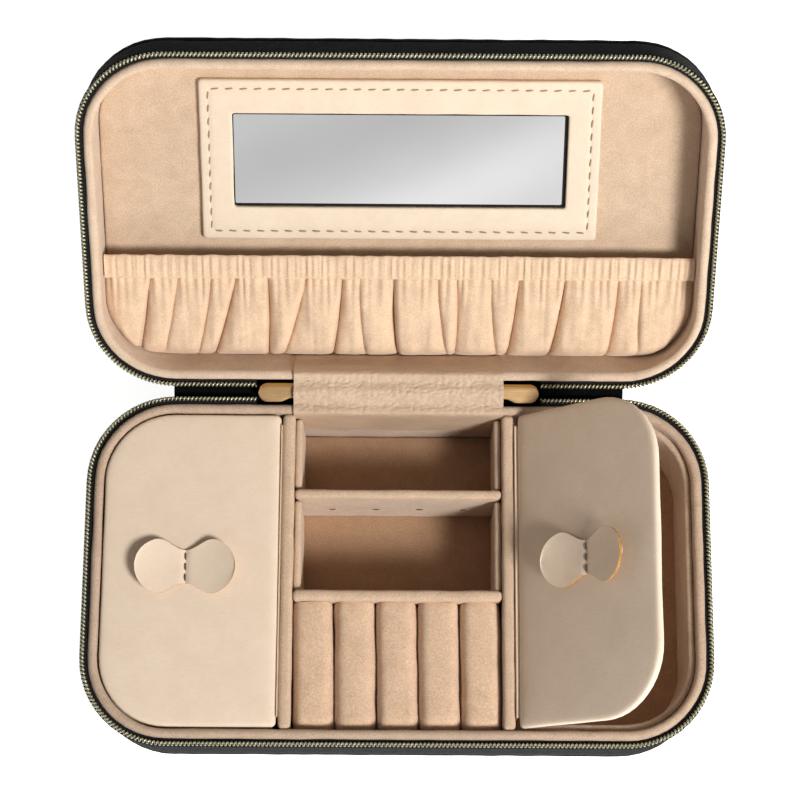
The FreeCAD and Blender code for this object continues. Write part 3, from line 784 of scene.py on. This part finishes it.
def zip_half(name, tray, hinge_side, body):
    """Half of the zip: a coil of wire on the edge of its woven tape, round all but the hinge's middle."""

    def runs(x, y):
        return not (y * hinge_side > 0 and abs(x) < ZIP_END)

    low = -FIT - 2 * COIL_HALF
    tape = [(0.12, low), (2.5, low), (2.62, low - 0.18), (2.5, low - 0.36), (0.12, low - 0.36)]
    points, faces = swept(tape, kept=runs, step=1.0)
    cloth = piece(f"{name}_zip_tape", points, faces, tray, TAPE)
    settle(cloth, f"{name}_zip_tape", body)

    path = rim(COIL_OUT, step=1.0, arc_steps=40)
    start = next(n for n in range(len(path)) if runs(*path[n]) and not runs(*path[n - 1]))
    path = path[start:] + path[:start]
    path = [Vector((*point, low + COIL_HALF)) for point in path if runs(*point)]
    reach = COIL_HALF - COIL_THREAD
    count = int(path_length(path) / COIL_PITCH * COIL_STEPS)
    wire = []
    for number, (spot, along) in enumerate(walked(path, count)):
        out = along.cross(Vector((0, 0, 1)))
        angle = 2 * math.pi * number / COIL_STEPS
        wire.append(spot + out * (reach * math.cos(angle)) + Vector((0, 0, reach * math.sin(angle))))
    points, faces = tube(wire, COIL_THREAD, sides=5)
    coil = piece(f"{name}_zip_coil", points, faces, tray, COIL, sharp=180.0)
    settle(coil, f"{name}_zip_coil", body)


def trays():
    # the base's floor pad takes the darker suede that paints the shade of the bays
    for name, tray, depth, inside, pad, finish, hinge_side in (
        ("base", BASE_TRAY, BASE_DEPTH, BASE_INSIDE, "base_floor_pad", FLOOR_SUEDE_PAINTED_SHADE, 1),
        ("lid", LID_TRAY, LID_DEPTH, LID_INSIDE, "lid_panel", PANEL, -1),
    ):
        outer_shell(f"{name}_outer_shell", tray, depth, hinge_side, name)
        rim_liner(f"{name}_rim_liner", tray, depth, name)
        floor_pad(pad, tray, depth, inside, name, finish)
        zip_half(name, tray, hinge_side, name)


# ---------------------------------------------------------------- the base's walls and rolls

def padded_wall(node, radius, body="base", seed=1.0, holes=()):
    """A suede-wrapped wall in the place of its CAD block, a little full and uneven."""
    low, high = box_of(node)
    points, faces = soft_block(low, high, radius, holes=holes)
    made = piece(node, points, faces, Matrix.Identity(4), SUEDE, sharp=60.0)
    ripple(made, 0.2, 7.0, seed=seed)
    settle(made, node, body)


def walls():
    for number, node in enumerate(("bay_wall_left", "bay_wall_right", "cross_wall")):
        padded_wall(node, 1.5, seed=1.0 + number)
    panels = [f"side_panel_{place}_{side}" for place in ("rear", "front") for side in ("left", "right")]
    for number, node in enumerate(panels):
        padded_wall(node, 1.05, seed=5.0 + number)
    low, high = box_of("removable_divider")
    middle = (low.x + high.x) / 2
    top = high.z - SLIT_DROP
    slits = []
    for number in range(4):
        centre = middle + SLIT_PITCH * (number - 1.5)
        slits.append((centre - SLIT_HALF, centre + SLIT_HALF, top - SLIT_TALL, top))
    padded_wall("removable_divider", 1.35, body="divider", seed=11.0, holes=slits)
    # painted shade: a dark thread along the middle of each slit, on both faces, stands in for the shade
    # inside the slits
    painted_slit_shade = []
    for x0, x1, z0, z1 in slits:
        for face in (low.y, high.y):
            level = (z0 + z1) / 2
            run = [Vector((x0 + (x1 - x0) * share / 4, face, level)) for share in range(5)]
            painted_slit_shade.append(tube(run, SLIT_TALL * 0.4))
    points, faces = merged(painted_slit_shade)
    sewn = piece("divider_slit_painted_shade", points, faces, Matrix.Identity(4), DARK_THREAD)
    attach(sewn, "divider")


def ring_roll(number):
    """A stuffed roll: steep sides, a full round top, and a nose that turns down at the front."""
    node = f"ring_roll_{number}"
    low, high = box_of(node)
    half = (high.x - low.x) / 2
    middle = (high.x + low.x) / 2
    tall = high.z - low.z
    length = high.y - low.y
    nose = 4.6
    around = 26
    rings = []
    rows = 44
    for row in range(rows + 1):
        run = length * row / rows
        near = max(0.0, 1 - run / nose)
        far = max(0.0, 1 - (length - run) / 1.6)
        drop = 3.2 * near ** 2.4 + 0.4 * far ** 2
        squeeze = 1.035 - 0.05 * near ** 3 - 0.02 * far
        sway = 0.7 * (0.5 - run / length)
        loop = []
        for step in range(around + 1):
            angle = math.pi * step / around
            wide = math.copysign(abs(math.cos(angle)) ** 0.42, math.cos(angle))
            height = abs(math.sin(angle)) ** 0.72
            fall = tall * 0.42
            x = middle + sway + half * squeeze * wide
            z = high.z - drop - fall * (1 - height)
            loop.append((x, low.y + run, z))
        for wide, share in ((-0.96, 0.25), (-0.93, 0.0), (0.93, 0.0), (0.96, 0.25)):
            loop.append((middle + sway + half * wide, low.y + run, low.z + tall * share))
        rings.append(loop)
    points, faces = lofted(rings)
    made = piece(node, points, faces, Matrix.Identity(4), ROLLS, sharp=70.0)
    ripple(made, 0.34, 6.5, seed=number * 3.7, stretch=(1, 0.6, 1))
    ripple(made, 0.12, 1.9, seed=number * 1.3)
    settle(made, node, "base")


# ---------------------------------------------------------------- the side compartments

def ledge(side, tray):
    """The padded ledge that runs round the compartment under its cover."""
    low = -BASE_INSIDE + FIT
    outer = -RIM_WALL - FIT
    inner = outer - LEDGE_WIDE
    top = -LEDGE_DROP
    bend = LEDGE_WIDE / 2
    profile = [(inner, low), (inner, low * 0.6), (inner, low * 0.3)]
    profile += arc((inner + bend, top - bend), bend, 180, 0, 8)
    profile += [(outer, low * 0.3), (outer, low * 0.6), (outer, low)]
    points, faces = swept(profile, kept=lambda x, y: x > WALL_FACE + 1.2, step=1.5)
    made = piece(f"compartment_liner_{side}", points, faces, tray, LINING["base"])
    ripple(made, 0.2, 6.0, seed=4.0)
    settle(made, f"compartment_liner_{side}", "base")


def cover(side, tray, swing):
    """The board that closes a compartment: flat, padded, and soft at its edges."""

    def rolled(x):
        """How far the padding rounds down towards the hinge."""
        return 0.55 * max(0.0, 1 - (x - COVER_INNER) / 3.4) ** 2

    far_x = RIM_X - COVER_GAP
    far_y = RIM_Y - COVER_GAP
    bend = RIM_R - COVER_GAP
    under = -3.3
    profile = [(30.0, under), (8.0, under), (0.9, under), (0.2, under + 0.25), (0.0, under + 0.9)]
    profile += [(0.0, -1.5), (0.16, -1.0), (0.5, -0.72), (1.0, -0.58), (1.8, -0.5), (3.0, -0.46)]
    profile += [(5.0, -0.42), (8.0, -0.38), (12.0, -0.36), (18.0, -0.34), (26.0, -0.34)]
    rings = []
    for inset, height in profile:
        outline = ring((COVER_INNER, far_x), (-far_y, far_y), (bend, bend, 1.6, 1.6),
                       inset=min(inset, 26.0), step=2.4)
        rings.append([(x, y, height - rolled(x) if height > under / 2 else height) for x, y in outline])
    points, faces = lofted(rings)
    made = piece(f"cover_{side}", points, faces, tray @ swing, COVER, sharp=70.0)
    ripple(made, 0.16, 16.0, seed=2.0 if side == "left" else 6.0)
    settle(made, f"cover_{side}", f"{side}_cover")


def bow_half_width(x):
    """Half the bow's width at x: a waist between two round lobes."""
    share = min(abs(x) / BOW_REACH, 1.0)
    round_off = math.sqrt(max(0.0, 1 - share ** 3.4))
    swell = 5.6 + 4.3 * math.sin(min(share / 0.62, 1.0) * math.pi / 2) ** 2
    return swell * round_off * 0.955


def bow(side, tray, swing):
    """The leatherette pull: an hourglass pinched and sewn down at its waist, its lobes lifting free."""
    columns = 56
    rows = 14
    thick = 1.1
    rest = -0.42
    top = []
    bottom = []
    for row in range(rows + 1):
        across = 2 * row / rows - 1
        for column in range(columns + 1):
            x = BOW_REACH * math.sin(math.pi / 2 * (2 * column / columns - 1))
            lift = 2.7 * (abs(x) / BOW_REACH) ** 1.6 + 0.15
            pinch = 0.55 * math.exp(-((x / 0.8) ** 2))
            half = max(bow_half_width(x), 0.05)
            cup = 0.35 * across ** 2 * min(abs(x) / 5.0, 1.0)
            height = rest + lift + cup
            top.append((x, half * across, height + thick - pinch))
            bottom.append((x, half * across * 0.985, height))
    points, faces = plate(top, bottom, columns + 1)
    name = f"bow_pull_{side}"
    place = tray @ swing @ shift(BOW_AT)
    made = piece(name, points, faces, place, COVER, sharp=50.0)
    made.data.materials.append(EDGE)
    for polygon in made.data.polygons[2 * columns * rows:]:
        polygon.material_index = 1
    settle(made, name, f"{side}_cover")

    ends = [((0.05, centre - 1.15, 0.62), (-0.05, centre + 1.15, 0.62)) for centre in (-3.4, 0.0, 3.4)]
    stitch_row(f"bow_stitches_{side}", ends, 0.24, 0.28, place, DARK_THREAD, f"{side}_cover")


def hinge_strip(side, tray, swing):
    """The cloth that hinges a cover: glued down the wall, then turned under the cover's edge."""
    half_long = 47.0
    rows = 48
    low = [Vector((37.5, 0, height)) for height in (-16.0, -12.0, -8.0, -4.0, -2.2, -1.3)]
    under = [swing @ Vector((x, 0, -3.32)) for x in (38.6, 40.5)]
    path = low + [PIVOT @ Vector((0, 0, -0.35))] + [swing @ Vector((37.78, 0, -2.4))] + under
    sheet = []
    for row in range(rows + 1):
        y = half_long * (2 * row / rows - 1)
        sheet += [Vector((point.x, y, point.z)) for point in path]
    points, faces = two_sided(sheet, len(path), 0.34)
    name = f"cover_hinge_strip_{side}"
    made = piece(name, points, faces, tray, COVER)
    # the glued leg is on the wall's side of the hinge line, and what lies under the cover is past it
    turn_in = 1.05
    level = COVER_PIVOT[1] - 1.6
    start = metres(tray) @ (Vector((COVER_PIVOT[0], 0, level)) * MM)
    end = metres(tray) @ (Vector((COVER_PIVOT[0] + turn_in, 0, level)) * MM)
    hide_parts(name)
    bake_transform(made)


def compartments():
    for side, (tray, swing) in SIDES.items():
        ledge(side, tray)
        cover(side, tray, swing)
        bow(side, tray, swing)
        hinge_strip(side, tray, swing)


# ---------------------------------------------------------------- what the lid holds

def mirror_frame():
    """A board wrapped in cream leatherette round the mirror's window, with a line of stitches."""
    floor = -LID_INSIDE + 0.05
    top = floor + 2.0
    # share 0 is the frame's outer edge and 1 is its window
    profile = [(0.04, floor), (0.0, floor + 0.4), (0.0, top - 0.55), (0.018, top - 0.2), (0.055, top)]
    profile += [(share, top) for share in (0.12, 0.2, 0.25)]
    profile += [(0.285, top - 0.14), (0.32, top)]
    profile += [(share, top) for share in (0.45, 0.6, 0.75, 0.88, 0.95)]
    profile += [(0.985, top - 0.12), (1.0, top - 0.45), (1.0, floor + 0.3), (0.99, floor)]
    wide, tall = FRAME_HALF
    outer = ring((-wide, wide), (-tall, tall), (1.2,) * 4, arc_steps=5, step=2.0)
    window_wide, window_tall = WINDOW_HALF
    rings = []
    for share, height in profile:
        loop = []
        for x, y in outer:
            inner_x = max(-window_wide, min(window_wide, x * window_wide / wide))
            inner_y = max(-window_tall, min(window_tall, y * window_tall / tall))
            loop.append((x + (inner_x - x) * share, y + (inner_y - y) * share, height))
        rings.append(loop)
    points, faces = lofted(rings, closed=True)
    place = LID_TRAY @ shift(y=FRAME_AT)
    made = piece("mirror_frame", points, faces, place, CREAM, sharp=55.0)
    ripple(made, 0.12, 12.0, seed=9.0)
    settle(made, "mirror_frame", "lid")

    inset = 2.9
    pitch = 4.5
    half_dash = 1.25
    slant = 0.12
    row_x = wide - inset
    row_y = tall - inset
    ends = []
    for way in (-1, 1):
        tilt = slant * way
        level = way * row_y
        for middle in spread(row_x, round(2 * row_x / pitch)):
            ends.append(((middle - half_dash, level - tilt, top), (middle + half_dash, level + tilt, top)))
        level = way * row_x
        for middle in spread(row_y, round(2 * row_y / pitch)):
            ends.append(((level - slant, middle - half_dash, top), (level + slant, middle + half_dash, top)))
    stitch_row("mirror_frame_stitches", ends, 0.26, 0.24, place, FRAME_THREAD, "lid")


def refinish(node, material, bevel=0.0):
    """A CAD node that is already the right shape gets its finish, and a fine bevel where it is metal."""
    shown = frame["nodes"][node]
    shown.data.materials.clear()
    shown.data.materials.append(material)
    if bevel:
        modifier = shown.modifiers.new("fine_edge", "BEVEL")
        modifier.width = bevel * MM
        modifier.segments = 2
        modifier.limit_method = "ANGLE"
        modifier.angle_limit = math.radians(40)


def pocket_edge(y):
    """How far the cloth reaches sideways at a height in the lid: straight, then round the corner."""
    reach = RIM_X - RIM_WALL - 0.4
    bend = RIM_R - RIM_WALL - 0.4
    centre = -RIM_Y + RIM_R
    if y >= centre:
        return reach
    fall = min(centre - y, bend * 0.999)
    return reach - bend + math.sqrt(bend * bend - fall * fall)


def gather(x, seed, size):
    """Uneven folds across x, from -1 to 1, with rounded crests and tight valleys."""
    wander = x + 1.5 * noise.noise(Vector((x / 5.0, seed, 0.3)))
    uneven = 0.72 + 0.75 * noise.noise(Vector((x / 3.4, seed, 5.2)))
    value = max(-1.0, min(1.0, uneven * math.cos(2 * math.pi * wander / size)))
    return 1 - 2 * ((1 - value) / 2) ** 0.7


def creased(across, run):
    """How far the creases draw the cloth back at a place across the pocket: steep on one side of each
    crease, easing out again on the other, and pinched narrow where it leaves the seam."""
    total = 0.0
    opened = 0.35 + 0.65 * min(1.0, (1 - run) / 0.45)
    for at_seam, at_foot, depth, easing in CREASES:
        bow = 0.6 * math.sin(math.pi * run) * math.copysign(1.0, at_seam - at_foot)
        away = across - (at_foot + (at_seam - at_foot) * run + bow)
        steep = away > 0 if at_seam < at_foot else away < 0
        spread = opened * easing / (5.4 if steep else 2.3)
        total -= depth * math.exp(-(abs(away) / spread) ** 1.25)
        total -= 0.5 * depth * math.exp(-((away / 0.55) ** 2))
    puff = 0.5 * noise.noise(Vector((across / 7.0, run * 2.2, 3.0)))
    puff += 0.3 * noise.noise(Vector((across / 3.0, run * 3, 9.0)))
    return total + puff


def pocket_point(x_share, run):
    """A point of the pocket's cloth: x_share -1 to 1 across, run 0 at the foot to 1 at the seam."""
    y = POCKET_FOOT + (POCKET_SEAM - POCKET_FOOT) * run
    reach = pocket_edge(POCKET_SEAM)
    across = x_share * reach
    straight = 68.0
    beyond = abs(across) - straight
    if beyond > 0:
        room = (pocket_edge(y) - straight) / (reach - straight)
        across = math.copysign(straight + beyond * room, across)
    slant = across + 2.2 * (1 - run) * noise.noise(Vector((across / 20.0, 7.7, 0.0)))
    broad = 1.4 * creased(across, run)
    tight = gather(slant, *FOLDS)
    body = math.sin(math.pi * min(1.0, run * 0.95 + 0.12)) ** 0.6
    foot = (1 - min(run / 0.22, 1.0)) ** 2
    near_seam = max(0.0, (run - 0.62) / 0.38)
    z = -8.3 - 6.2 * foot + 0.5 * body
    z += broad * (1 - 0.55 * near_seam) + 0.9 * body
    z += 0.50 * tight * near_seam ** 1.1 + 0.05 * tight * (1 - foot)
    y += (1 - run) ** 3 * (0.36 * broad + 0.3)
    side = max(0.0, (abs(x_share) - 0.965) / 0.035)
    z -= 2.4 * side ** 2
    return Vector((across, y, z))


def pocket():
    """The gathered pocket: its cloth front, the ruffled casing over its elastic, and their seam."""
    wide = 560
    rows = 46
    grid = itertools.product(range(rows + 1), range(wide))
    cloth = [pocket_point(2 * column / (wide - 1) - 1, row / rows) for row, column in grid]
    points, faces = two_sided(cloth, wide, 0.5)
    front = piece("gathered_pocket", points, faces, LID_TRAY, POCKET, sharp=85.0)
    settle(front, "gathered_pocket", "lid")

    reach = RIM_X - RIM_WALL - 0.5
    columns = 720
    around = 22
    rings = []
    for column in range(columns + 1):
        x = reach * (2 * column / columns - 1)
        pleat = gather(x, *FOLDS)
        small = gather(x, *FINE_FOLDS)
        tall = (POCKET_TOP - POCKET_SEAM) / 2 + 0.3 * noise.noise(Vector((x / 2.7, 3.3, 0)))
        middle = (POCKET_TOP + POCKET_SEAM) / 2
        loop = []
        for step in range(around):
            angle = 2 * math.pi * step / around
            up = math.sin(angle)
            out = math.cos(angle)
            fullness = 1.0 + 0.42 * pleat * (1 - 0.35 * abs(up)) + 0.14 * small
            z = -7.5 + 1.02 * out * fullness
            y = middle + tall * math.copysign(abs(up) ** 0.8, up)
            loop.append((x, y, z))
        rings.append(loop)
    points, faces = lofted(rings)
    band = piece("pocket_elastic_band", points, faces, LID_TRAY, POCKET, sharp=85.0)
    settle(band, "pocket_elastic_band", "lid")

    ends = []
    half_dash = 0.75
    pitch = 2.6
    for x in spread(reach, int(2 * reach / pitch)):
        y = POCKET_SEAM + 0.75
        level = -7.1 + 0.3 * gather(x, *FOLDS)
        ends.append(((x - half_dash, y, level), (x + half_dash, y, level)))
    seam = stitch_row("pocket_seam_stitches", ends, 0.2, 0.3, LID_TRAY, CREAM_THREAD, "lid")

    # laid flat, the cloth is taller than the pocket by its fullness
    fullness = 1.22
    tall = (POCKET_SEAM - POCKET_FOOT) * MM * fullness


# ---------------------------------------------------------------- what crosses the hinge

def across_hinge(out, level):
    """A point of the base's side of the hinge, (y, z) in the frame between the trays."""
    y = -(HINGE.y - RIM_Y + out)
    lean = LEAN / 2
    return (y * math.cos(lean) + level * math.sin(lean), level * math.cos(lean) - y * math.sin(lean))


def smooth_path(corners, rounds):
    """An open path with its corners cut smooth; its ends stay."""
    path = [Vector((*corner, 0)) for corner in corners]
    for _ in range(rounds):
        cut = [path[0]]
        for one, other in zip(path, path[1:]):
            cut.append(one.lerp(other, 0.25))
            cut.append(one.lerp(other, 0.75))
        cut.append(path[-1])
        path = cut
    return path


def even_path(path, step):
    """The same path with points about one step apart."""
    return [spot for spot, along in walked(path, max(2, round(path_length(path) / step)))]


def strip_over_hinge(name, path, half_width, thick, columns, wrinkle, material):
    """A strip of cloth along a path in the hinge's cross-section."""
    sheet = []
    for number, point in enumerate(path):
        before = path[max(number - 1, 0)]
        after = path[min(number + 1, len(path) - 1)]
        along = (after - before).normalized()
        out = Vector((0, -along.y, along.x))
        for column in range(columns):
            x = half_width(number / (len(path) - 1)) * (2 * column / (columns - 1) - 1)
            lift = wrinkle(x, number)
            sheet.append(Vector((x, point.x, point.y)) + out * lift)
    points, faces = two_sided(sheet, columns, thick)
    made = piece(name, points, faces, BETWEEN, material, sharp=80.0)
    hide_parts(name)
    y, z = across_hinge(0.2, 0.0)
    start = metres(BETWEEN) @ (Vector((0, y, z)) * MM)
    end = metres(BETWEEN) @ (Vector((0, -y, z)) * MM)
    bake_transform(made)


def hinge_web():
    """The leatherette hinge between the bays: down the wall of each tray and over both rims."""
    over_rim = [(3.5, 0.1), (1.5, 0.25), (0.0, 0.25)]
    base_leg = [across_hinge(*spot) for spot in [(3.5, -20.0), (3.5, -7.0)] + over_rim]
    lid_leg = [across_hinge(*spot) for spot in over_rim[::-1] + [(3.5, -12.0)]]
    corners = base_leg + [(0.0, 3.2)] + [(-y, z) for y, z in lid_leg]
    step = 0.36
    path = even_path(smooth_path(corners, 2), step)

    def width(share):
        return WEB_HALF - 0.7 * (1 - math.sin(math.pi * min(max(share, 0.0), 1.0)) ** 0.25)

    def wrinkle(x, number):
        point = path[number]
        between = max(0.0, 1 - (point.x / 7.5) ** 4)
        along = number * step
        crackle = abs(noise.noise(Vector((x / 2.3, along / 1.0, 1.0))))
        fold = abs(noise.noise(Vector((x / 13.0, along / 1.3, 6.0))))
        return between * (0.85 * min(crackle, 0.3) + 0.45 * min(fold, 0.3)) - 0.15

    strip_over_hinge("hinge_web", path, width, 0.6, 210, wrinkle, WEB)


def spine():
    """The velvet spine outside: an arch from one shell to the other, lapped over both."""
    bend = 3.95
    drop = -7.5
    arch = []
    for count in range(25):
        angle = math.pi * (1 - count / 24)
        arch.append(Vector((bend * math.cos(angle), drop + bend * math.sin(angle), 0)))

    def wrinkle(x, number):
        return 0.14 * noise.noise(Vector((x / 5.0, number / 4.0, 2.0)))

    lap = [Vector((*across_hinge(-SHELL_OUT - 0.5, level), 0)) for level in (-17.0, -13.0, -10.0)]
    other_lap = [Vector((-point.x, point.y, 0)) for point in lap[::-1]]
    path = even_path(lap + arch + other_lap, 0.6)
    strip_over_hinge("spine", path, lambda share: SPINE_HALF, 0.8, 150, wrinkle, VELVET)


# ---------------------------------------------------------------- the zip's sliders

def pull_tab(side, place):
    """The pull: an eye round the pin and a rounded paddle, straight and polished along the edge
    towards the lid, where its brighter gold is a painted highlight, and waisted along the other."""
    pin = 29.3
    root = pin + 0.35
    neck = pin + 0.8
    waist_end = 34.6
    tip = 45.3
    eye = 1.2
    waist = eye + 0.55
    broad = 3.0
    low = 0.9
    thick = 0.7
    columns = 44
    rows = 8
    toward_lid = 1 if side == "right" else -1

    def eased(share):
        share = min(max(share, 0.0), 1.0)
        return share * share * (3 - 2 * share)

    top = []
    bottom = []
    for row in range(rows + 1):
        across = math.sin(math.pi / 2 * (2 * row / rows - 1))
        lidward = across * toward_lid > 0
        bevel = 0.16 * max(0.0, (abs(across) - 0.86) / 0.14) ** 1.5
        if lidward:
            bevel = 0.42 * max(0.0, (abs(across) - 0.70) / 0.30)
        for column in range(columns + 1):
            x = root + (tip - root) * (1 - math.cos(math.pi * column / columns)) / 2
            opening = eased((x - neck) / 2.6)
            straight = eye + (broad - eye) * opening
            waisted = eye + (waist - eye) * opening + (broad - waist) * eased((x - waist_end) / 3.8)
            past = max(0.0, x - (tip - broad)) / broad
            first = max(0.0, 1 - (x - root) / 0.5)
            narrowed = math.sqrt(max(0.0, 1 - past ** 2)) * (1 - 0.35 * first)
            half = max((straight if lidward else waisted) * narrowed, 0.04)
            top.append((x, half * across, low + thick - bevel))
            bottom.append((x, half * across, low + 0.1))
    points, faces = plate(top, bottom, columns + 1)
    name = f"pull_tab_{side}"
    made = piece(name, points, faces, place, GOLD, sharp=35.0)
    # painted highlight: the bevelled rows along the lid's edge get the brighter, glossier gold
    made.data.materials.append(GOLD_PAINTED_HIGHLIGHT)
    edge_rows = (rows - 2, rows - 1) if toward_lid > 0 else (0, 1)
    for row, column in itertools.product(edge_rows, range(columns)):
        made.data.polygons[2 * (row * columns + column)].material_index = 1
    settle(made, name, f"{side}_pull")


# ---------------------------------------------------------------- the stage

def floor():
    reach = 3.0
    level = -0.0006
    corners = [(x * reach, y * reach, level) for x, y in ((-1, -1), (1, -1), (1, 1), (-1, 1))]
    made = bpy.data.objects.new("floor", bpy.data.meshes.new("floor"))
    made.data.from_pydata(corners, [], [(0, 1, 2, 3)])
    made.data.materials.append(pale_floor())
    bpy.context.scene.collection.objects.link(made)
    made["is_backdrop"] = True


def key_light():
    """A soft lamp at the right front."""
    place = Vector((0.80, -0.74, 1.10))
    target = Vector((0.0, 0.03, 0.02))
    data = bpy.data.lights.new("key", "AREA")
    data.energy = 27.5
    data.size = 0.42
    data.color = (1.0, 0.985, 0.965)
    made = bpy.data.objects.new("key", data)
    made.location = place
    made.rotation_euler = (target - place).to_track_quat("-Z", "Y").to_euler()
    bpy.context.scene.collection.objects.link(made)


def room():
    """A dim, even room, with a paler wall in front of the case for the mirror to see."""
    world = bpy.data.worlds.new("room")
    bpy.context.scene.world = world
    world.use_nodes = True
    nodes = world.node_tree.nodes
    links = world.node_tree.links
    background = nodes["Background"]
    direction = nodes.new("ShaderNodeTexCoord").outputs["Generated"]

    def along(axis, low, high):
        """0 to 1 as a direction's share along an axis goes from low to high."""
        dot = nodes.new("ShaderNodeVectorMath")
        dot.operation = "DOT_PRODUCT"
        dot.inputs[1].default_value = axis
        links.new(direction, dot.inputs[0])
        mapped = nodes.new("ShaderNodeMapRange")
        mapped.inputs["From Min"].default_value = low
        mapped.inputs["From Max"].default_value = high
        links.new(dot.outputs["Value"], mapped.inputs["Value"])
        return mapped.outputs["Result"]

    # the wall's greys, in soft slanting bands
    wall = nodes.new("ShaderNodeValToRGB")
    wall.color_ramp.interpolation = "B_SPLINE"
    greys = ((0.0, 0.76), (0.26, 0.58), (0.56, 0.77), (0.78, 1.06), (1.0, 0.80))
    stops = wall.color_ramp.elements
    while len(stops) < len(greys):
        stops.new(0.5)
    for stop, (position, grey) in zip(stops, greys):
        stop.position = position
        stop.color = (grey, grey, grey, 1)
    slant = (1.0, 0.0, -2.63)
    links.new(along(slant, -1.322, -1.117), wall.inputs["Fac"])
    mix = nodes.new("ShaderNodeMix")
    mix.data_type = "RGBA"
    mix.inputs["A"].default_value = (0.20, 0.192, 0.182, 1)
    front = (0.0, -1.0, 0.0)
    links.new(along(front, 0.72, 0.90), mix.inputs["Factor"])
    links.new(wall.outputs["Color"], mix.inputs["B"])
    links.new(mix.outputs["Result"], background.inputs["Color"])


def camera():
    """A long lens high over the front, turned and rolled by under a degree."""
    distance = 720.63
    target = Vector((0.48, 55.29, BASE_DEPTH))
    elevation = math.radians(75.30)
    yaw = math.radians(-0.63)
    roll = math.radians(0.97)
    toward = Vector((
        math.sin(yaw) * math.cos(elevation),
        -math.cos(yaw) * math.cos(elevation),
        math.sin(elevation),
    ))
    right = (-toward).cross(Vector((0, 0, 1))).normalized()
    up = right.cross(-toward)
    rolled_right = right * math.cos(roll) + up * math.sin(roll)
    rolled_up = up * math.cos(roll) - right * math.sin(roll)
    data = bpy.data.cameras.new("camera")
    data.lens = 100.13
    data.sensor_width = 36.0
    data.clip_start = 0.01
    made = bpy.data.objects.new("camera", data)
    turned = Matrix((rolled_right, rolled_up, toward)).transposed().to_4x4()
    made.matrix_world = Matrix.Translation((target + toward * distance) * MM) @ turned
    bpy.context.scene.collection.objects.link(made)
    bpy.context.scene.camera = made


# ---------------------------------------------------------------- the whole scene

trays()
walls()
for roll_number in range(1, 6):
    ring_roll(roll_number)
compartments()
mirror_frame()
refinish("mirror_glass", MIRROR, bevel=0.2)
# painted shade: the mirror backing is coloured black to stand in for the recess's shadow and its reflection
refinish("mirror_backing", PAINTED_SHADE_CARD)
pocket()
hinge_web()
spine()
for side_name, side_place in (("right", BETWEEN), ("left", BETWEEN @ HALF_TURN)):
    pull_tab(side_name, side_place)
    refinish(f"zip_slider_{side_name}", GOLD, bevel=0.12)
    refinish(f"pull_pin_{side_name}", GOLD)
floor()
key_light()
room()
camera()
bpy.context.scene.view_settings.view_transform = "Standard"

boxes = {"cad": box_at_start, "shown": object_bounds()}
{name: [list(corner) for corner in pair] for name, pair in boxes.items()}
